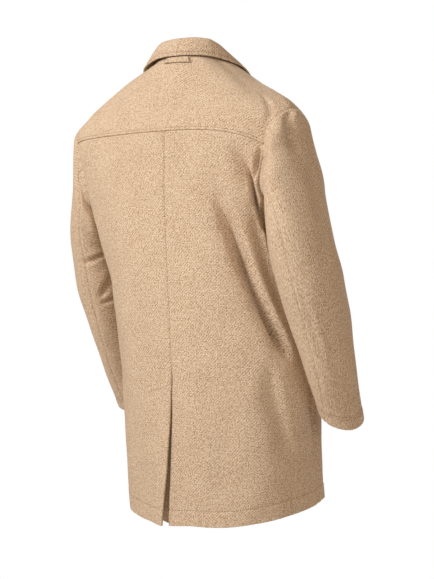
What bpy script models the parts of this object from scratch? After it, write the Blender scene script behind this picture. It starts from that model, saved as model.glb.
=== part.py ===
"""Wool car coat as it hangs on its wearer: hollow cut panels, each a thin cloth wall.

Metres, +Z up. The coat faces -Y and its left side is +X. The origin lies in the neck opening, level
with the top of the shoulders, where the coat is held.
"""
import bmesh
import bpy
import numpy as np
from mathutils import Matrix, Vector

for old in list(bpy.data.objects):
    bpy.data.objects.remove(old, do_unlink=True)

# Cloth and seams
CLOTH = 0.0025
SEAM_GAP = 0.0003
LAP_GAP = 0.0010

# Levels, as heights at the side of the body
NECK = 0.012
SHOULDER_TIP = -0.096
UNDERARM = -0.275
VENT_TOP = -0.595
HEM = -0.826
YOKE_AT_BACK = -0.128

# Sections of the body from hem to neck. Heights are taken at the sides, the middle back and the
# middle front; half_width, back and front are the section's radii from its middle; turn is in
# degrees about the vertical, and lean lifts the left side for each metre outwards.
BODY_COLUMNS = ("height", "at_back", "at_front", "half_width", "back", "front",
                "mid_x", "mid_y", "turn", "lean")
BODY = np.array([
    (HEM, -0.857, -0.815, 0.198, 0.157, 0.160, -0.053, -0.045, -13.0, 0.00),
    (-0.600, -0.603, -0.598, 0.201, 0.142, 0.150, -0.046, -0.028, -8.0, 0.00),
    (-0.420, -0.420, -0.420, 0.198, 0.134, 0.138, -0.024, -0.024, -3.0, 0.00),
    (UNDERARM, -0.275, -0.275, 0.217, 0.112, 0.138, -0.006, -0.010, 0.0, 0.00),
    (-0.200, -0.200, -0.204, 0.237, 0.097, 0.135, -0.002, 0.000, 0.0, -0.02),
    (-0.150, -0.149, -0.166, 0.247, 0.086, 0.134, 0.000, 0.008, 0.0, -0.02),
    (-0.115, -0.113, -0.146, 0.246, 0.077, 0.132, 0.000, 0.012, 0.0, -0.02),
    (-0.085, -0.080, -0.130, 0.221, 0.070, 0.125, 0.000, 0.010, 0.0, -0.03),
    (-0.055, -0.046, -0.115, 0.179, 0.070, 0.112, 0.000, -0.003, 0.0, -0.008),
    (-0.025, -0.012, -0.101, 0.132, 0.074, 0.098, 0.000, -0.020, 0.0, 0.025),
    (NECK, 0.018, -0.082, 0.072, 0.074, 0.085, 0.000, -0.030, 0.0, 0.010),
])
SQUARENESS = 0.12

# The hem hangs above or below its level, by degrees round the body; nothing is left of it at the hip
HEM_LINE = np.array([
    (-180.0, 0.0), (-130.0, 0.010), (-112.0, 0.013), (-95.0, 0.004), (-80.0, -0.003), (-60.0, -0.0075),
    (-44.0, -0.0065), (-28.0, -0.002), (-13.0, 0.003), (0.0, 0.001), (12.0, 0.0045), (40.0, 0.004),
    (65.0, 0.014), (100.0, 0.014), (140.0, 0.006), (180.0, 0.0),
])
HEM_LINE_TOP = -0.62

# Side seams run forward below the underarm, in degrees round the body
SIDE_FORWARD = 13.0
SIDE_FORWARD_BY = -0.45

# Armholes: an oval cut out of the body round the shoulder line. Reaches are in degrees to the back
# and front, and square makes the back edge upright. The left arm is held forward, the right one back.
# The yoke ends at a turn of its own on each side.
HOLE_STEPS = 20
YOKE_END = {1: 54.0, -1: 75.0}
HOLE_COLUMNS = ("to_back", "to_front", "square")
LEFT_HOLE = np.array((27.0, 36.0, 0.0))
RIGHT_HOLE = np.array((43.0, 36.0, 5.0))
YOKE_END_STEP = 3
BACK_SEAM_STEP = 5
FRONT_SEAM_STEP = 15

# Sleeves below the armhole: a point on the outer line, one on the inner line, half the depth from
# front to back, and how many degrees the back of that depth dips down and swings towards the body.
# The last row is the cuff.
SLEEVE_COLUMNS = ("outer_x", "outer_y", "outer_z", "inner_x", "inner_y", "inner_z",
                  "depth", "dip", "swing")
LEFT_SLEEVE = np.array([
    (0.249, 0.001, -0.114, 0.2215, -0.012, -0.281, 0.055, 0.0, 16.0),
    (0.262, -0.007, -0.150, 0.2230, -0.022, -0.290, 0.061, 0.0, 18.0),
    (0.273, -0.020, -0.210, 0.2190, -0.036, -0.306, 0.068, 5.0, 18.0),
    (0.297, -0.054, -0.320, 0.1990, -0.068, -0.346, 0.069, 14.0, 10.0),
    (0.303, -0.080, -0.395, 0.1980, -0.094, -0.411, 0.068, 20.0, 4.0),
    (0.293, -0.112, -0.475, 0.1960, -0.119, -0.486, 0.065, 24.0, 0.0),
    (0.284, -0.151, -0.565, 0.1970, -0.151, -0.571, 0.057, 26.0, 0.0),
    (0.275, -0.189, -0.645, 0.1950, -0.190, -0.651, 0.050, 26.0, 0.0),
])
RIGHT_SLEEVE = np.array([
    (-0.243, 0.019, -0.106, -0.2285, 0.005, -0.281, 0.079, 0.0, 10.0),
    (-0.245, 0.028, -0.145, -0.2310, 0.016, -0.291, 0.079, 0.0, 14.0),
    (-0.268, 0.037, -0.205, -0.2220, 0.041, -0.309, 0.080, -4.0, 15.0),
    (-0.318, 0.053, -0.322, -0.2120, 0.059, -0.346, 0.081, -6.0, 12.0),
    (-0.337, 0.048, -0.402, -0.2290, 0.051, -0.420, 0.077, 2.0, 6.0),
    (-0.344, 0.031, -0.475, -0.2430, 0.034, -0.490, 0.068, 10.0, 2.0),
    (-0.347, 0.010, -0.572, -0.2640, 0.010, -0.580, 0.055, 18.0, 0.0),
    (-0.345, -0.014, -0.671, -0.2780, -0.018, -0.625, 0.044, 26.0, 0.0),
])
SLEEVE_ROWS = (0, 0.5, 1, 1.5, 2, 2.5, 3, 3.5, 4, 4.6, 5.2, 5.9, 6.6, 7.3, 8)
HOLE_FADE = 3.0
PAST_HOLE = 0.02
MITRE_LIMIT = 0.6

# Vent at the middle of the back, left panel over right
VENT_UNDERLAP = 0.038
VENT_SLANT = 0.012
VENT_LIFT = 0.010
VENT_SPREAD = 0.060
VENT_DRIFT = 0.007

# Long diagonal fold of the right back, from the shoulder blade towards the hip
FOLD_COLUMNS = ("from_angle", "from_height", "to_angle", "to_height", "depth", "half_width")
RIGHT_BACK_FOLDS = np.array([
    (-18.0, -0.20, -73.0, -0.54, 0.009, 0.020),
])

# Front closing, left over right
FRONT_OVERLAP = 0.022
FRONT_BLEND = 14.0

# Collar, of the angle round the neck: the stand's height, how far the roll rises over it and goes
# out, and how far below the neck seam the fall's edge lies and clears the shoulders. The left leaf
# stands off the shoulder, the right one lies on it.
COLLAR_END = 162.0
COLLAR_STEP = 9.0
COLLAR_COLUMNS = ("angle", "stand", "roll_up", "drop", "clear", "roll_out")
COLLAR = np.array([
    (-COLLAR_END, 0.016, 0.010, 0.040, 0.0022, 0.008),
    (-130.0, 0.008, 0.006, 0.026, 0.0022, 0.007),
    (-100.0, 0.006, 0.005, 0.0150, 0.0020, 0.006),
    (-80.0, 0.014, 0.006, 0.0090, 0.0018, 0.007),
    (-60.0, 0.0260, 0.009, 0.0045, 0.0020, 0.008),
    (-45.0, 0.0315, 0.010, 0.0028, 0.0022, 0.009),
    (-25.0, 0.0315, 0.010, 0.0028, 0.0026, 0.008),
    (0.0, 0.0280, 0.010, 0.0036, 0.0034, 0.008),
    (30.0, 0.0270, 0.010, 0.0075, 0.0050, 0.009),
    (60.0, 0.0240, 0.010, 0.0175, 0.0060, 0.008),
    (80.0, 0.0165, 0.009, 0.0225, 0.0055, 0.008),
    (100.0, 0.011, 0.008, 0.0270, 0.0050, 0.008),
    (130.0, 0.010, 0.008, 0.035, 0.0030, 0.008),
    (COLLAR_END, 0.016, 0.010, 0.040, 0.0022, 0.008),
])
STAND_LEAN = 0.004
ROLL_GAP = 0.0008
LEAF_FULLNESS = 0.45
FALL_SHARES = (0.0, 0.12, 0.28, 0.5, 0.75, 1.0)
TAB_GAP = 0.0006
TAB_ANGLE = 16.5
TAB_TOP = 0.0085
TAB_BOTTOM = -0.0060

# Buttons down the middle front
BUTTON_RADIUS = 0.0125
BUTTON_THICK = 0.0042
BUTTON_RIM = 0.0022
BUTTON_DISH = 0.0010
BUTTON_EDGE = 0.0007
BUTTON_SIDES = 20
BUTTON_SEAT = 0.0006
BUTTON_FIRST = -0.190
BUTTON_STEP = -0.145
BUTTON_COUNT = 4

# Grid of the body panels
COLUMNS = 10
VENT_ROWS = 5
SKIRT_ROWS = 7
CROWN_ROWS = 5
LAP_COLUMNS = 2
LEVEL_SPREAD = 4

SIDE_NAMES = {1: "left", -1: "right"}
QUARTER = np.pi / 2
NUDGE = 1e-4
SHARP_EDGE = np.radians(40.0)
UP = np.array((0.0, 0.0, 1.0))
SEAM_ORDER = np.array((0.01, 0.02, 1.0))


def curve(knots, values, at):
    """Smooth curve through rows of values that never overshoots them, read at the given places."""
    knots = np.asarray(knots, float)
    values = np.asarray(values, float)
    at = np.asarray(at, float)
    width = np.diff(knots)[:, None]
    table = values.reshape(len(knots), -1)
    slope = np.diff(table, axis=0) / width
    before, after = slope[:-1], slope[1:]
    heavy = 2 * width[1:] + width[:-1]
    light = width[1:] + 2 * width[:-1]
    turning = before * after <= 0
    safe_before = np.where(turning, 1.0, before)
    safe_after = np.where(turning, 1.0, after)
    mean = (heavy + light) / (heavy / safe_before + light / safe_after)
    tangent = np.vstack([slope[:1], np.where(turning, 0.0, mean), slope[-1:]])
    cell = np.clip(np.searchsorted(knots, at) - 1, 0, len(width) - 1)
    step = width[cell, 0][..., None]
    t = (at - knots[cell])[..., None] / step
    start, end = table[cell], table[cell + 1]
    result = (start * (1 + 2 * t) * (1 - t) ** 2 + end * t * t * (3 - 2 * t)
              + step * tangent[cell] * t * (1 - t) ** 2 - step * tangent[cell + 1] * t * t * (1 - t))
    return result.reshape(at.shape + values.shape[1:])


def ease(low, high, value):
    """Soft step from 0 at low to 1 at high."""
    t = np.clip((value - low) / (high - low), 0.0, 1.0)
    return t * t * (3 - 2 * t)


def unit(vectors):
    return vectors / np.linalg.norm(vectors, axis=-1, keepdims=True)


def named(columns, rows):
    """A table's rows as a dictionary of columns."""
    return {name: rows[..., k] for k, name in enumerate(columns)}


def body_width(height):
    """Half width of the body at a height."""
    return np.interp(height, BODY[:, 0], BODY[:, BODY_COLUMNS.index("half_width")])


def hem_line(angle, height):
    """How far the cloth hangs above its level, from nothing at the hip to all at the hem."""
    once_round = np.mod(np.degrees(angle) + 180.0, 360.0) - 180.0
    return curve(HEM_LINE[:, 0], HEM_LINE[:, 1], once_round) * ease(HEM_LINE_TOP, HEM, height)


def body_point(angle, height):
    """Point on the outside of the body; the angle is 0 at the middle back and grows to the left."""
    angle, height = np.broadcast_arrays(np.asarray(angle, float), np.asarray(height, float))
    size = named(BODY_COLUMNS, curve(BODY[:, 0], BODY, height))
    c, s = np.cos(angle), np.sin(angle)
    behind = c > 0
    across = size["half_width"] * s
    along = np.where(behind, size["back"], size["front"]) * c * (1 + SQUARENESS * s * s)
    turn = np.radians(size["turn"])
    x = size["mid_x"] + across * np.cos(turn) - along * np.sin(turn)
    y = size["mid_y"] + across * np.sin(turn) + along * np.cos(turn)
    end = np.where(behind, size["at_back"], size["at_front"])
    z = height + c * c * (end - height) + size["lean"] * across + hem_line(angle, height)
    return np.stack([x, y, z], axis=-1)


def outward(surface, first, second, sign=1.0):
    """Unit normal of a surface of two parameters, from small steps to each side."""
    along_first = surface(first + NUDGE, second) - surface(first - NUDGE, second)
    along_second = surface(first, second + NUDGE) - surface(first, second - NUDGE)
    return sign * unit(np.cross(along_second, along_first))


def lifted(lift):
    """The body's surface moved out along its normal by a lift that depends on angle and height."""
    def surface(angle, height):
        base = body_point(angle, height)
        return base + outward(body_point, angle, height) * lift(angle, height)[..., None]
    return surface


def vent_share(height):
    """How far down the vent a height lies, 0 at its top and 1 at the hem."""
    return np.clip((VENT_TOP - height) / (VENT_TOP - HEM), 0.0, 1.0)


def vent_edge(height):
    """Angle of the left panel's free edge, which drifts to the left below the vent's top."""
    return VENT_DRIFT * vent_share(height) ** 2 / body_width(height)


def left_back_lift(angle, height):
    """The left panel stands off along its free edge, more and more towards the hem."""
    from_edge = body_width(height) * (angle - vent_edge(height)) / VENT_SPREAD
    return VENT_LIFT * vent_share(height) * np.exp(-from_edge ** 2)


def fold_depth(folds, angle, height):
    """Troughs along straight lines on the cloth, deepest halfway and fading at both ends."""
    total = np.zeros(np.shape(angle))
    for row in folds:
        fold = named(FOLD_COLUMNS, row)
        drop = fold["to_height"] - fold["from_height"]
        share = np.clip((height - fold["from_height"]) / drop, 0.0, 1.0)
        middle = np.radians(fold["from_angle"] + share * (fold["to_angle"] - fold["from_angle"]))
        aside = (angle - middle) * body_width(height)
        total -= fold["depth"] * np.sin(np.pi * share) * np.exp(-(aside / fold["half_width"]) ** 2)
    return total


def right_back_lift(angle, height):
    """The right panel sinks under the left one below the vent's top, and takes the long fold."""
    one_row = (UNDERARM - VENT_TOP) / SKIRT_ROWS
    blend = np.radians(FRONT_BLEND)
    sink = ease(-blend, 0.0, angle) * ease(VENT_TOP + one_row, VENT_TOP, height)
    return -(CLOTH + LAP_GAP) * sink + fold_depth(RIGHT_BACK_FOLDS, angle, height)


def right_front_lift(angle, height):
    """The right front sinks under the left one along the closing."""
    past = -np.pi + 2 * lap_angle(height)
    return -(CLOTH + LAP_GAP) * ease(past + np.radians(FRONT_BLEND), past, angle)


def no_lift(angle, height):
    return np.zeros(np.shape(angle + height))


def lap_angle(height):
    """Angle that the front overlap takes past the middle front."""
    return FRONT_OVERLAP / body_width(height)


def side_seam(side, height):
    """Angle of the side seam below the armhole."""
    forward = np.radians(SIDE_FORWARD) * ease(UNDERARM, SIDE_FORWARD_BY, height)
    return side * (QUARTER + forward)


def hole_place(side, phi):
    """Angle and height of the armhole's edge: phi is 0 at the shoulder, a quarter turn at the back."""
    hole = named(HOLE_COLUMNS, LEFT_HOLE if side > 0 else RIGHT_HOLE)
    at_back = hole["to_back"] * np.sin(phi) + hole["square"] * np.sin(3 * phi)
    reach = np.where(np.sin(phi) > 0, at_back, hole["to_front"] * np.sin(phi))
    angle = side * (QUARTER - np.radians(reach))
    middle = (SHOULDER_TIP + UNDERARM) / 2
    height = middle + (SHOULDER_TIP - UNDERARM) / 2 * np.cos(phi)
    return angle, height


def hole_turns(side):
    """Turns of the armhole's steps, evenly spaced between shoulder, yoke's end and sleeve seam."""
    steps = np.arange(HOLE_STEPS + 1)
    known_steps = (0, YOKE_END_STEP, BACK_SEAM_STEP, HOLE_STEPS)
    known_turns = np.radians((0.0, YOKE_END[side], 90.0, 360.0))
    return np.interp(steps, known_steps, known_turns)


def sleeve_surface(side):
    """Outside of a sleeve, of the turn round the arm and the station along it."""
    table = LEFT_SLEEVE if side > 0 else RIGHT_SLEEVE
    tip = body_point(*hole_place(side, np.array(0.0)))
    pit = body_point(*hole_place(side, np.array(np.pi)))
    stations = np.vstack([np.concatenate([tip, pit, table[0, 6:]]), table])
    knots = np.arange(len(stations))

    def ring(phi, station):
        row = curve(knots, stations, station)
        outer, inner, size = row[..., 0:3], row[..., 3:6], named(SLEEVE_COLUMNS, row)
        dip, swing = np.radians(size["dip"]), np.radians(size["swing"])
        reach = (outer - inner) / 2
        rear = np.stack([-side * np.sin(swing), np.cos(dip), -np.sin(dip)], axis=-1)
        along = unit(reach)
        rear = unit(rear - along * np.sum(rear * along, axis=-1, keepdims=True))
        to_back = np.sin(phi) * size["depth"]
        return (outer + inner) / 2 + np.cos(phi)[..., None] * reach + to_back[..., None] * rear

    def surface(phi, station):
        phi, station = np.broadcast_arrays(np.asarray(phi, float), np.asarray(station, float))
        hole = body_point(*hole_place(side, phi))
        misfit = hole - ring(phi, np.zeros(phi.shape))
        keep = 1 - ease(0.0, HOLE_FADE, station)
        return ring(phi, station) + keep[..., None] * misfit

    return surface


def armhole(side):
    """Outer and inner edge of an armhole, mitred so that body and sleeve share one joint."""
    phi = hole_turns(side)
    angle, height = hole_place(side, phi)
    outer = body_point(angle, height)
    of_body = outward(body_point, angle, height)
    of_sleeve = outward(sleeve_surface(side), phi, np.full(phi.shape, PAST_HOLE), side)
    middle = unit(of_body + of_sleeve)
    reach = CLOTH / np.maximum(np.sum(middle * of_body, axis=-1), MITRE_LIMIT)
    return angle, height, outer, outer - middle * reach[:, None]


def trimmed(grid, edge, rows=slice(None)):
    """Draw one edge of a grid of points back by half the seam gap."""
    moved = grid.copy()
    first, second = {"start": (0, 1), "end": (-1, -2)}[edge]
    step = unit(grid[rows, second] - grid[rows, first])
    moved[rows, first] += step * SEAM_GAP / 2
    return moved


def trim_sides(grid, edges):
    """Draw back the named edges of a panel: low and high rows, start and end columns."""
    for edge in edges:
        if edge in ("low", "high"):
            turned = trimmed(grid.swapaxes(0, 1), "start" if edge == "low" else "end")
            grid = turned.swapaxes(0, 1)
        else:
            grid = trimmed(grid, edge)
    return grid


def finish(name, colour, roughness):
    """Principled surface in the colour that the photograph shows."""
    material = bpy.data.materials.new(name + "_surface")
    material.use_nodes = True
    shader = material.node_tree.nodes["Principled BSDF"]
    shader.inputs["Base Color"].default_value = (*colour, 1.0)
    shader.inputs["Roughness"].default_value = roughness
    shader.inputs["Metallic"].default_value = 0.0
    return material


WOOL = ((0.62, 0.44, 0.30), 0.95)
HORN = ((0.12, 0.07, 0.04), 0.45)

coat = bpy.data.objects.new("coat", None)
bpy.context.collection.objects.link(coat)


def add_piece(name, mesh, look):
    piece = bpy.data.objects.new(name, mesh)
    mesh.materials.append(finish(name, *look))
    mesh.shade_smooth()
    mesh.set_sharp_from_angle(angle=SHARP_EDGE)
    bpy.context.collection.objects.link(piece)
    piece.parent = coat
    return piece


def add_cloth(name, outer, inner, kept=None):
    """Closed wall between an outer and an inner grid of points; kept marks the grid's cells.

    The wall's edge is split into triangles by height, so that two panels that share a seam bend
    the same way along it.
    """
    rows, columns = outer.shape[:2]
    cells = np.ones((rows - 1, columns - 1), bool) if kept is None else kept
    r, c = np.nonzero(cells)
    corner = np.stack([r * columns + c, r * columns + c + 1,
                       (r + 1) * columns + c + 1, (r + 1) * columns + c], axis=1)
    points = np.concatenate([outer.reshape(-1, 3), inner.reshape(-1, 3)])
    across = np.cross(points[corner[:, 1]] - points[corner[:, 0]],
                      points[corner[:, 3]] - points[corner[:, 0]])
    thick = (outer - inner).reshape(-1, 3)[corner[:, 0]]
    if np.sum(across * thick) < 0:
        corner = corner[:, ::-1]
    size = rows * columns
    edges = np.concatenate([corner[:, [k, (k + 1) % 4]] for k in range(4)])
    known = {tuple(edge) for edge in edges.tolist()}
    border = [edge for edge in edges.tolist() if (edge[1], edge[0]) not in known]
    rank = points @ SEAM_ORDER
    rim = []
    for a, b in border:
        near, far = (b, a, b + size), (a, a + size, b + size)
        if rank[a] > rank[b]:
            near, far = (b, a, a + size), (b, a + size, b + size)
        rim += [near, far]
    faces = corner.tolist() + (corner[:, ::-1] + size).tolist() + rim
    used = sorted({index for face in faces for index in face})
    place = {index: k for k, index in enumerate(used)}
    faces = [[place[index] for index in face] for face in faces]
    mesh = bpy.data.meshes.new(name)
    mesh.from_pydata(points[used].tolist(), [], faces)
    return add_piece(name, mesh, WOOL)


def cloth_on(surface, angle, height):
    """Outer and inner points of a panel that follows a surface of the body."""
    outer = surface(angle, height)
    return outer, outer - outward(surface, angle, height) * CLOTH


def between(near, far, shares):
    """Rows that run from near to far, with one column for each share of the way."""
    return near[:, None] + (far - near)[:, None] * shares[None, :]


HOLES = {side: armhole(side) for side in (1, -1)}
SKIRT = np.concatenate([np.linspace(HEM, VENT_TOP, VENT_ROWS + 1),
                        np.linspace(VENT_TOP, UNDERARM, SKIRT_ROWS + 1)[1:]])
SHARES = np.linspace(0.0, 1.0, COLUMNS + 1)
HALF_TURN_STEP = HOLE_STEPS // 2


def edge_of_body(side, steps):
    """Angles, heights and inner points of the armhole at the given steps."""
    angle, height, _, inner = HOLES[side]
    return angle[steps], height[steps], inner[steps]


def add_back(side):
    """One back panel: from the middle back seam to the side seam and the armhole, up to the yoke."""
    steps = np.arange(HALF_TURN_STEP - 1, YOKE_END_STEP - 1, -1)
    hole_angle, hole_height, hole_inner = edge_of_body(side, steps)
    side_angle = np.concatenate([side_seam(side, SKIRT), hole_angle])
    side_height = np.concatenate([SKIRT, hole_height])
    rise = (YOKE_AT_BACK - UNDERARM) / (hole_height[-1] - UNDERARM)
    mid_height = np.concatenate([SKIRT, UNDERARM + (hole_height - UNDERARM) * rise])
    mid_angle = vent_edge(mid_height) if side > 0 else np.zeros(len(mid_height))
    surface = lifted(left_back_lift if side > 0 else right_back_lift)
    angle = between(mid_angle, side_angle, SHARES)
    height = between(mid_height, side_height, SHARES ** LEVEL_SPREAD)
    kept = np.ones((len(mid_height) - 1, COLUMNS), bool)
    laps = 0
    if side < 0:
        laps = LAP_COLUMNS
        shares = np.arange(laps, 0, -1) / laps
        lap_width = VENT_UNDERLAP / body_width(mid_height)
        slant = VENT_SLANT * ease(HEM, VENT_TOP, mid_height)
        angle = np.hstack([lap_width[:, None] * shares, angle])
        height = np.hstack([mid_height[:, None] - slant[:, None] * shares, height])
        lap_cells = np.repeat((np.arange(len(mid_height) - 1) < VENT_ROWS)[:, None], laps, axis=1)
        kept = np.hstack([lap_cells, kept])
    outer, inner = cloth_on(surface, angle, height)
    first_hole = len(SKIRT)
    inner[first_hole:, -1] = hole_inner
    inner[first_hole - 1, -1] = HOLES[side][3][HALF_TURN_STEP]
    closed = slice(VENT_ROWS + 1, None) if side < 0 else slice(None)
    walls = []
    for grid in (outer, inner):
        grid[:, laps:] = trim_sides(trimmed(grid[:, laps:], "start", closed), ("end", "high"))
        walls.append(grid)
    add_cloth("back_" + SIDE_NAMES[side], *walls, kept)


def add_yoke():
    """One piece over both shoulder blades, from the back panels up to the neck."""
    steps = np.arange(YOKE_END_STEP, -1, -1)
    crown = np.linspace(SHOULDER_TIP, NECK, CROWN_ROWS + 1)[1:]
    halves = []
    for side in (1, -1):
        hole_angle, hole_height, hole_inner = edge_of_body(side, steps)
        side_angle = np.concatenate([hole_angle, np.full(CROWN_ROWS, side * QUARTER)])
        side_height = np.concatenate([hole_height, crown])
        low = hole_height[0]
        mid_height = YOKE_AT_BACK + (side_height - low) * (NECK - YOKE_AT_BACK) / (NECK - low)
        angle = between(np.zeros(len(side_angle)), side_angle, SHARES)
        height = between(mid_height, side_height, SHARES ** LEVEL_SPREAD)
        outer, inner = cloth_on(body_point, angle, height)
        inner[:len(steps), -1] = hole_inner
        halves.append((outer, inner))
    walls = []
    for left, right in zip(halves[0], halves[1]):
        whole = np.hstack([left[:, ::-1], right[:, 1:]])
        walls.append(trim_sides(whole, ("low", "high", "start", "end")))
    add_cloth("back_yoke", *walls)


def add_front(side):
    """One front: from its free edge past the middle front to side seam, armhole and shoulder seam."""
    steps = np.arange(HALF_TURN_STEP + 1, HOLE_STEPS + 1)
    hole_angle, hole_height, hole_inner = edge_of_body(side, steps)
    crown = np.linspace(SHOULDER_TIP, NECK, CROWN_ROWS + 1)[1:]
    side_height = np.concatenate([SKIRT, hole_height, crown])
    side_angle = np.concatenate([side_seam(side, SKIRT), hole_angle,
                                 np.full(CROWN_ROWS, side * QUARTER)])
    free_angle = side * (np.pi + lap_angle(side_height))
    surface = lifted(no_lift if side > 0 else right_front_lift)
    angle = between(free_angle, side_angle, SHARES)
    height = between(side_height, side_height, SHARES)
    outer, inner = cloth_on(surface, angle, height)
    first_hole = len(SKIRT)
    inner[first_hole:first_hole + len(steps), -1] = hole_inner
    inner[first_hole - 1, -1] = HOLES[side][3][HALF_TURN_STEP]
    walls = [trim_sides(grid, ("end", "high")) for grid in (outer, inner)]
    add_cloth("front_" + SIDE_NAMES[side], *walls)


def add_sleeve(side):
    """Two-piece sleeve: the top piece over the outside, the under piece along the body."""
    surface = sleeve_surface(side)
    step = np.arange(FRONT_SEAM_STEP - HOLE_STEPS, FRONT_SEAM_STEP + 1)
    phi = hole_turns(side)[step % HOLE_STEPS] - 2 * np.pi * (step < 0)
    stations = np.array(SLEEVE_ROWS, float)
    phi_grid, station_grid = np.meshgrid(phi, stations)
    outer = surface(phi_grid, station_grid)
    inner = outer - outward(surface, phi_grid, station_grid, side) * CLOTH
    inner[0] = HOLES[side][3][step % HOLE_STEPS]
    split = BACK_SEAM_STEP - step[0]
    for part, columns in (("top", slice(0, split + 1)), ("under", slice(split, None))):
        walls = [trim_sides(grid[:, columns], ("low", "start", "end")) for grid in (outer, inner)]
        add_cloth("sleeve_" + SIDE_NAMES[side] + "_" + part, *walls)


def neck_ring(angle):
    """Neck seam, the level direction out of the neck there, and the one that rises square to it."""
    level = np.full(angle.shape, NECK)
    ring = body_point(angle, level)
    along = unit(body_point(angle + NUDGE, level) - body_point(angle - NUDGE, level))
    out = unit(np.cross(np.broadcast_to(UP, along.shape), along))
    return ring, out, unit(UP - along * along[:, 2:3])


def collar_at(angle):
    """The collar's sizes at an angle from the middle back."""
    return named(COLLAR_COLUMNS, curve(COLLAR[:, 0], COLLAR, np.degrees(angle)))


def stand_top(angle):
    ring, out, rising = neck_ring(angle)
    return ring + collar_at(angle)["stand"][:, None] * rising - STAND_LEAN * out


def collar_angles():
    count = int(round(2 * COLLAR_END / COLLAR_STEP))
    return np.radians(np.linspace(-COLLAR_END, COLLAR_END, count + 1))


def add_stand():
    """Upright band on the neck seam."""
    angle = collar_angles()
    ring, out, rising = neck_ring(angle)
    foot = ring + SEAM_GAP * rising
    top = stand_top(angle)
    outer = np.stack([foot, (foot + top) / 2, top])
    add_cloth("collar_stand", outer, outer - out[None] * CLOTH)


def add_fall():
    """Turned-down leaf: it rolls over the top of the stand and drops to its edge on the shoulders."""
    angle = collar_angles()
    _, out, rising = neck_ring(angle)
    top = stand_top(angle)
    size = collar_at(angle)
    rest = body_point(angle, NECK - size["drop"])
    normal = outward(body_point, angle, NECK - size["drop"])
    edge = rest + normal * (size["clear"] + CLOTH)[:, None]
    start = top - out * CLOTH + rising * (CLOTH + ROLL_GAP)
    roll_out = out * size["roll_out"][:, None]
    shoulder = top + roll_out + rising * size["roll_up"][:, None]
    above = edge + (top - edge) * LEAF_FULLNESS + roll_out
    t = np.array(FALL_SHARES)[:, None, None]
    outer = ((1 - t) ** 3 * start + 3 * t * (1 - t) ** 2 * shoulder
             + 3 * t * t * (1 - t) * above + t ** 3 * edge)
    along_leaf = ((1 - t) ** 2 * (shoulder - start) + 2 * t * (1 - t) * (above - shoulder)
                  + t * t * (edge - above))
    along_neck = np.gradient(outer, axis=1)
    inner = outer - unit(np.cross(along_neck, along_leaf)) * CLOTH
    add_cloth("collar_fall", outer, inner)


def add_tab():
    """Short tab that lies on the yoke and comes out from under the collar."""
    angle = np.radians(np.array((-TAB_ANGLE, -COLLAR_STEP, 0.0, COLLAR_STEP, TAB_ANGLE)))
    height = np.linspace(TAB_BOTTOM, TAB_TOP, 3)
    angle, height = np.meshgrid(angle, height)
    base = body_point(angle, height)
    normal = outward(body_point, angle, height)
    add_cloth("collar_tab", base + normal * (TAB_GAP + CLOTH), base + normal * TAB_GAP)


def add_buttons():
    """Dished buttons on the left front, along the middle front."""
    for number in range(BUTTON_COUNT):
        height = np.array(BUTTON_FIRST + BUTTON_STEP * number)
        angle = np.array(np.pi)
        seat = body_point(angle, height)
        normal = outward(body_point, angle, height)
        form = bmesh.new()
        bmesh.ops.create_cone(form, cap_ends=True, segments=BUTTON_SIDES, radius1=BUTTON_RADIUS,
                              radius2=BUTTON_RADIUS, depth=BUTTON_THICK)
        rims = [edge for edge in form.edges if abs(edge.verts[0].co.z - edge.verts[1].co.z) < 1e-6]
        bmesh.ops.bevel(form, geom=rims, offset=BUTTON_EDGE, segments=1, affect="EDGES")
        form.faces.ensure_lookup_table()
        face = max(form.faces, key=lambda item: item.calc_center_median().z)
        bmesh.ops.inset_region(form, faces=[face], thickness=BUTTON_RIM, depth=-BUTTON_DISH)
        mesh = bpy.data.meshes.new("button_" + str(number + 1))
        form.to_mesh(mesh)
        form.free()
        button = add_piece("button_" + str(number + 1), mesh, HORN)
        turn = Vector((0, 0, 1)).rotation_difference(Vector(normal))
        centre = seat + normal * (BUTTON_SEAT + BUTTON_THICK / 2)
        button.matrix_world = Matrix.Translation(Vector(centre)) @ turn.to_matrix().to_4x4()


for each_side in (1, -1):
    add_back(each_side)
    add_front(each_side)
    add_sleeve(each_side)
add_yoke()
add_stand()
add_fall()
add_tab()
add_buttons()
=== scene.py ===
# %% [markdown]
# # A wool car coat, seen from behind
# The coat keeps the form it has when it is worn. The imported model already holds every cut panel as
# a plain thin wall. This lesson puts the cloth on those walls: fine surfaces with soft creases,
# sewn seams, topstitching and a twill weave.
#
# Lengths are in metres. The coat faces -Y, its left side is +X, and the origin lies in the neck
# opening, level with the top of the shoulders.

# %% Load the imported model
import bpy
import numpy as np
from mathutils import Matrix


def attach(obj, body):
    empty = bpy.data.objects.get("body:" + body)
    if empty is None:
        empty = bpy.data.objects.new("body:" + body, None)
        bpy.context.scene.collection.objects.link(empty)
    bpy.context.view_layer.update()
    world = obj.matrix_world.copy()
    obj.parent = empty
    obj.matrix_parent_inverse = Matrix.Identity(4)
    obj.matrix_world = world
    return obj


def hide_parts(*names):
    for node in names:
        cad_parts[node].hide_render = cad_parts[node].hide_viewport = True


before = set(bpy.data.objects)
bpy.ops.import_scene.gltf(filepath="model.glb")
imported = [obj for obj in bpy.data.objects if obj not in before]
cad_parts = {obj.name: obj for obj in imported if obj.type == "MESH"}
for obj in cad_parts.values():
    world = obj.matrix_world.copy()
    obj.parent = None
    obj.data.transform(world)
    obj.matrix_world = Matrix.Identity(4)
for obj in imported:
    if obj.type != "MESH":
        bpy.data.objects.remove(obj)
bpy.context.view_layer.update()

print("packed nodes:", ", ".join(sorted(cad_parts)))

# %% [markdown]
# ## Curves and steps
# A cutter draws a coat from a few measures and smooth lines through them. `curve` draws such lines:
# a cubic through a table of measures that never swings past them. `ease` is a soft step, which
# lets one shape fade into the next.

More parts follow.
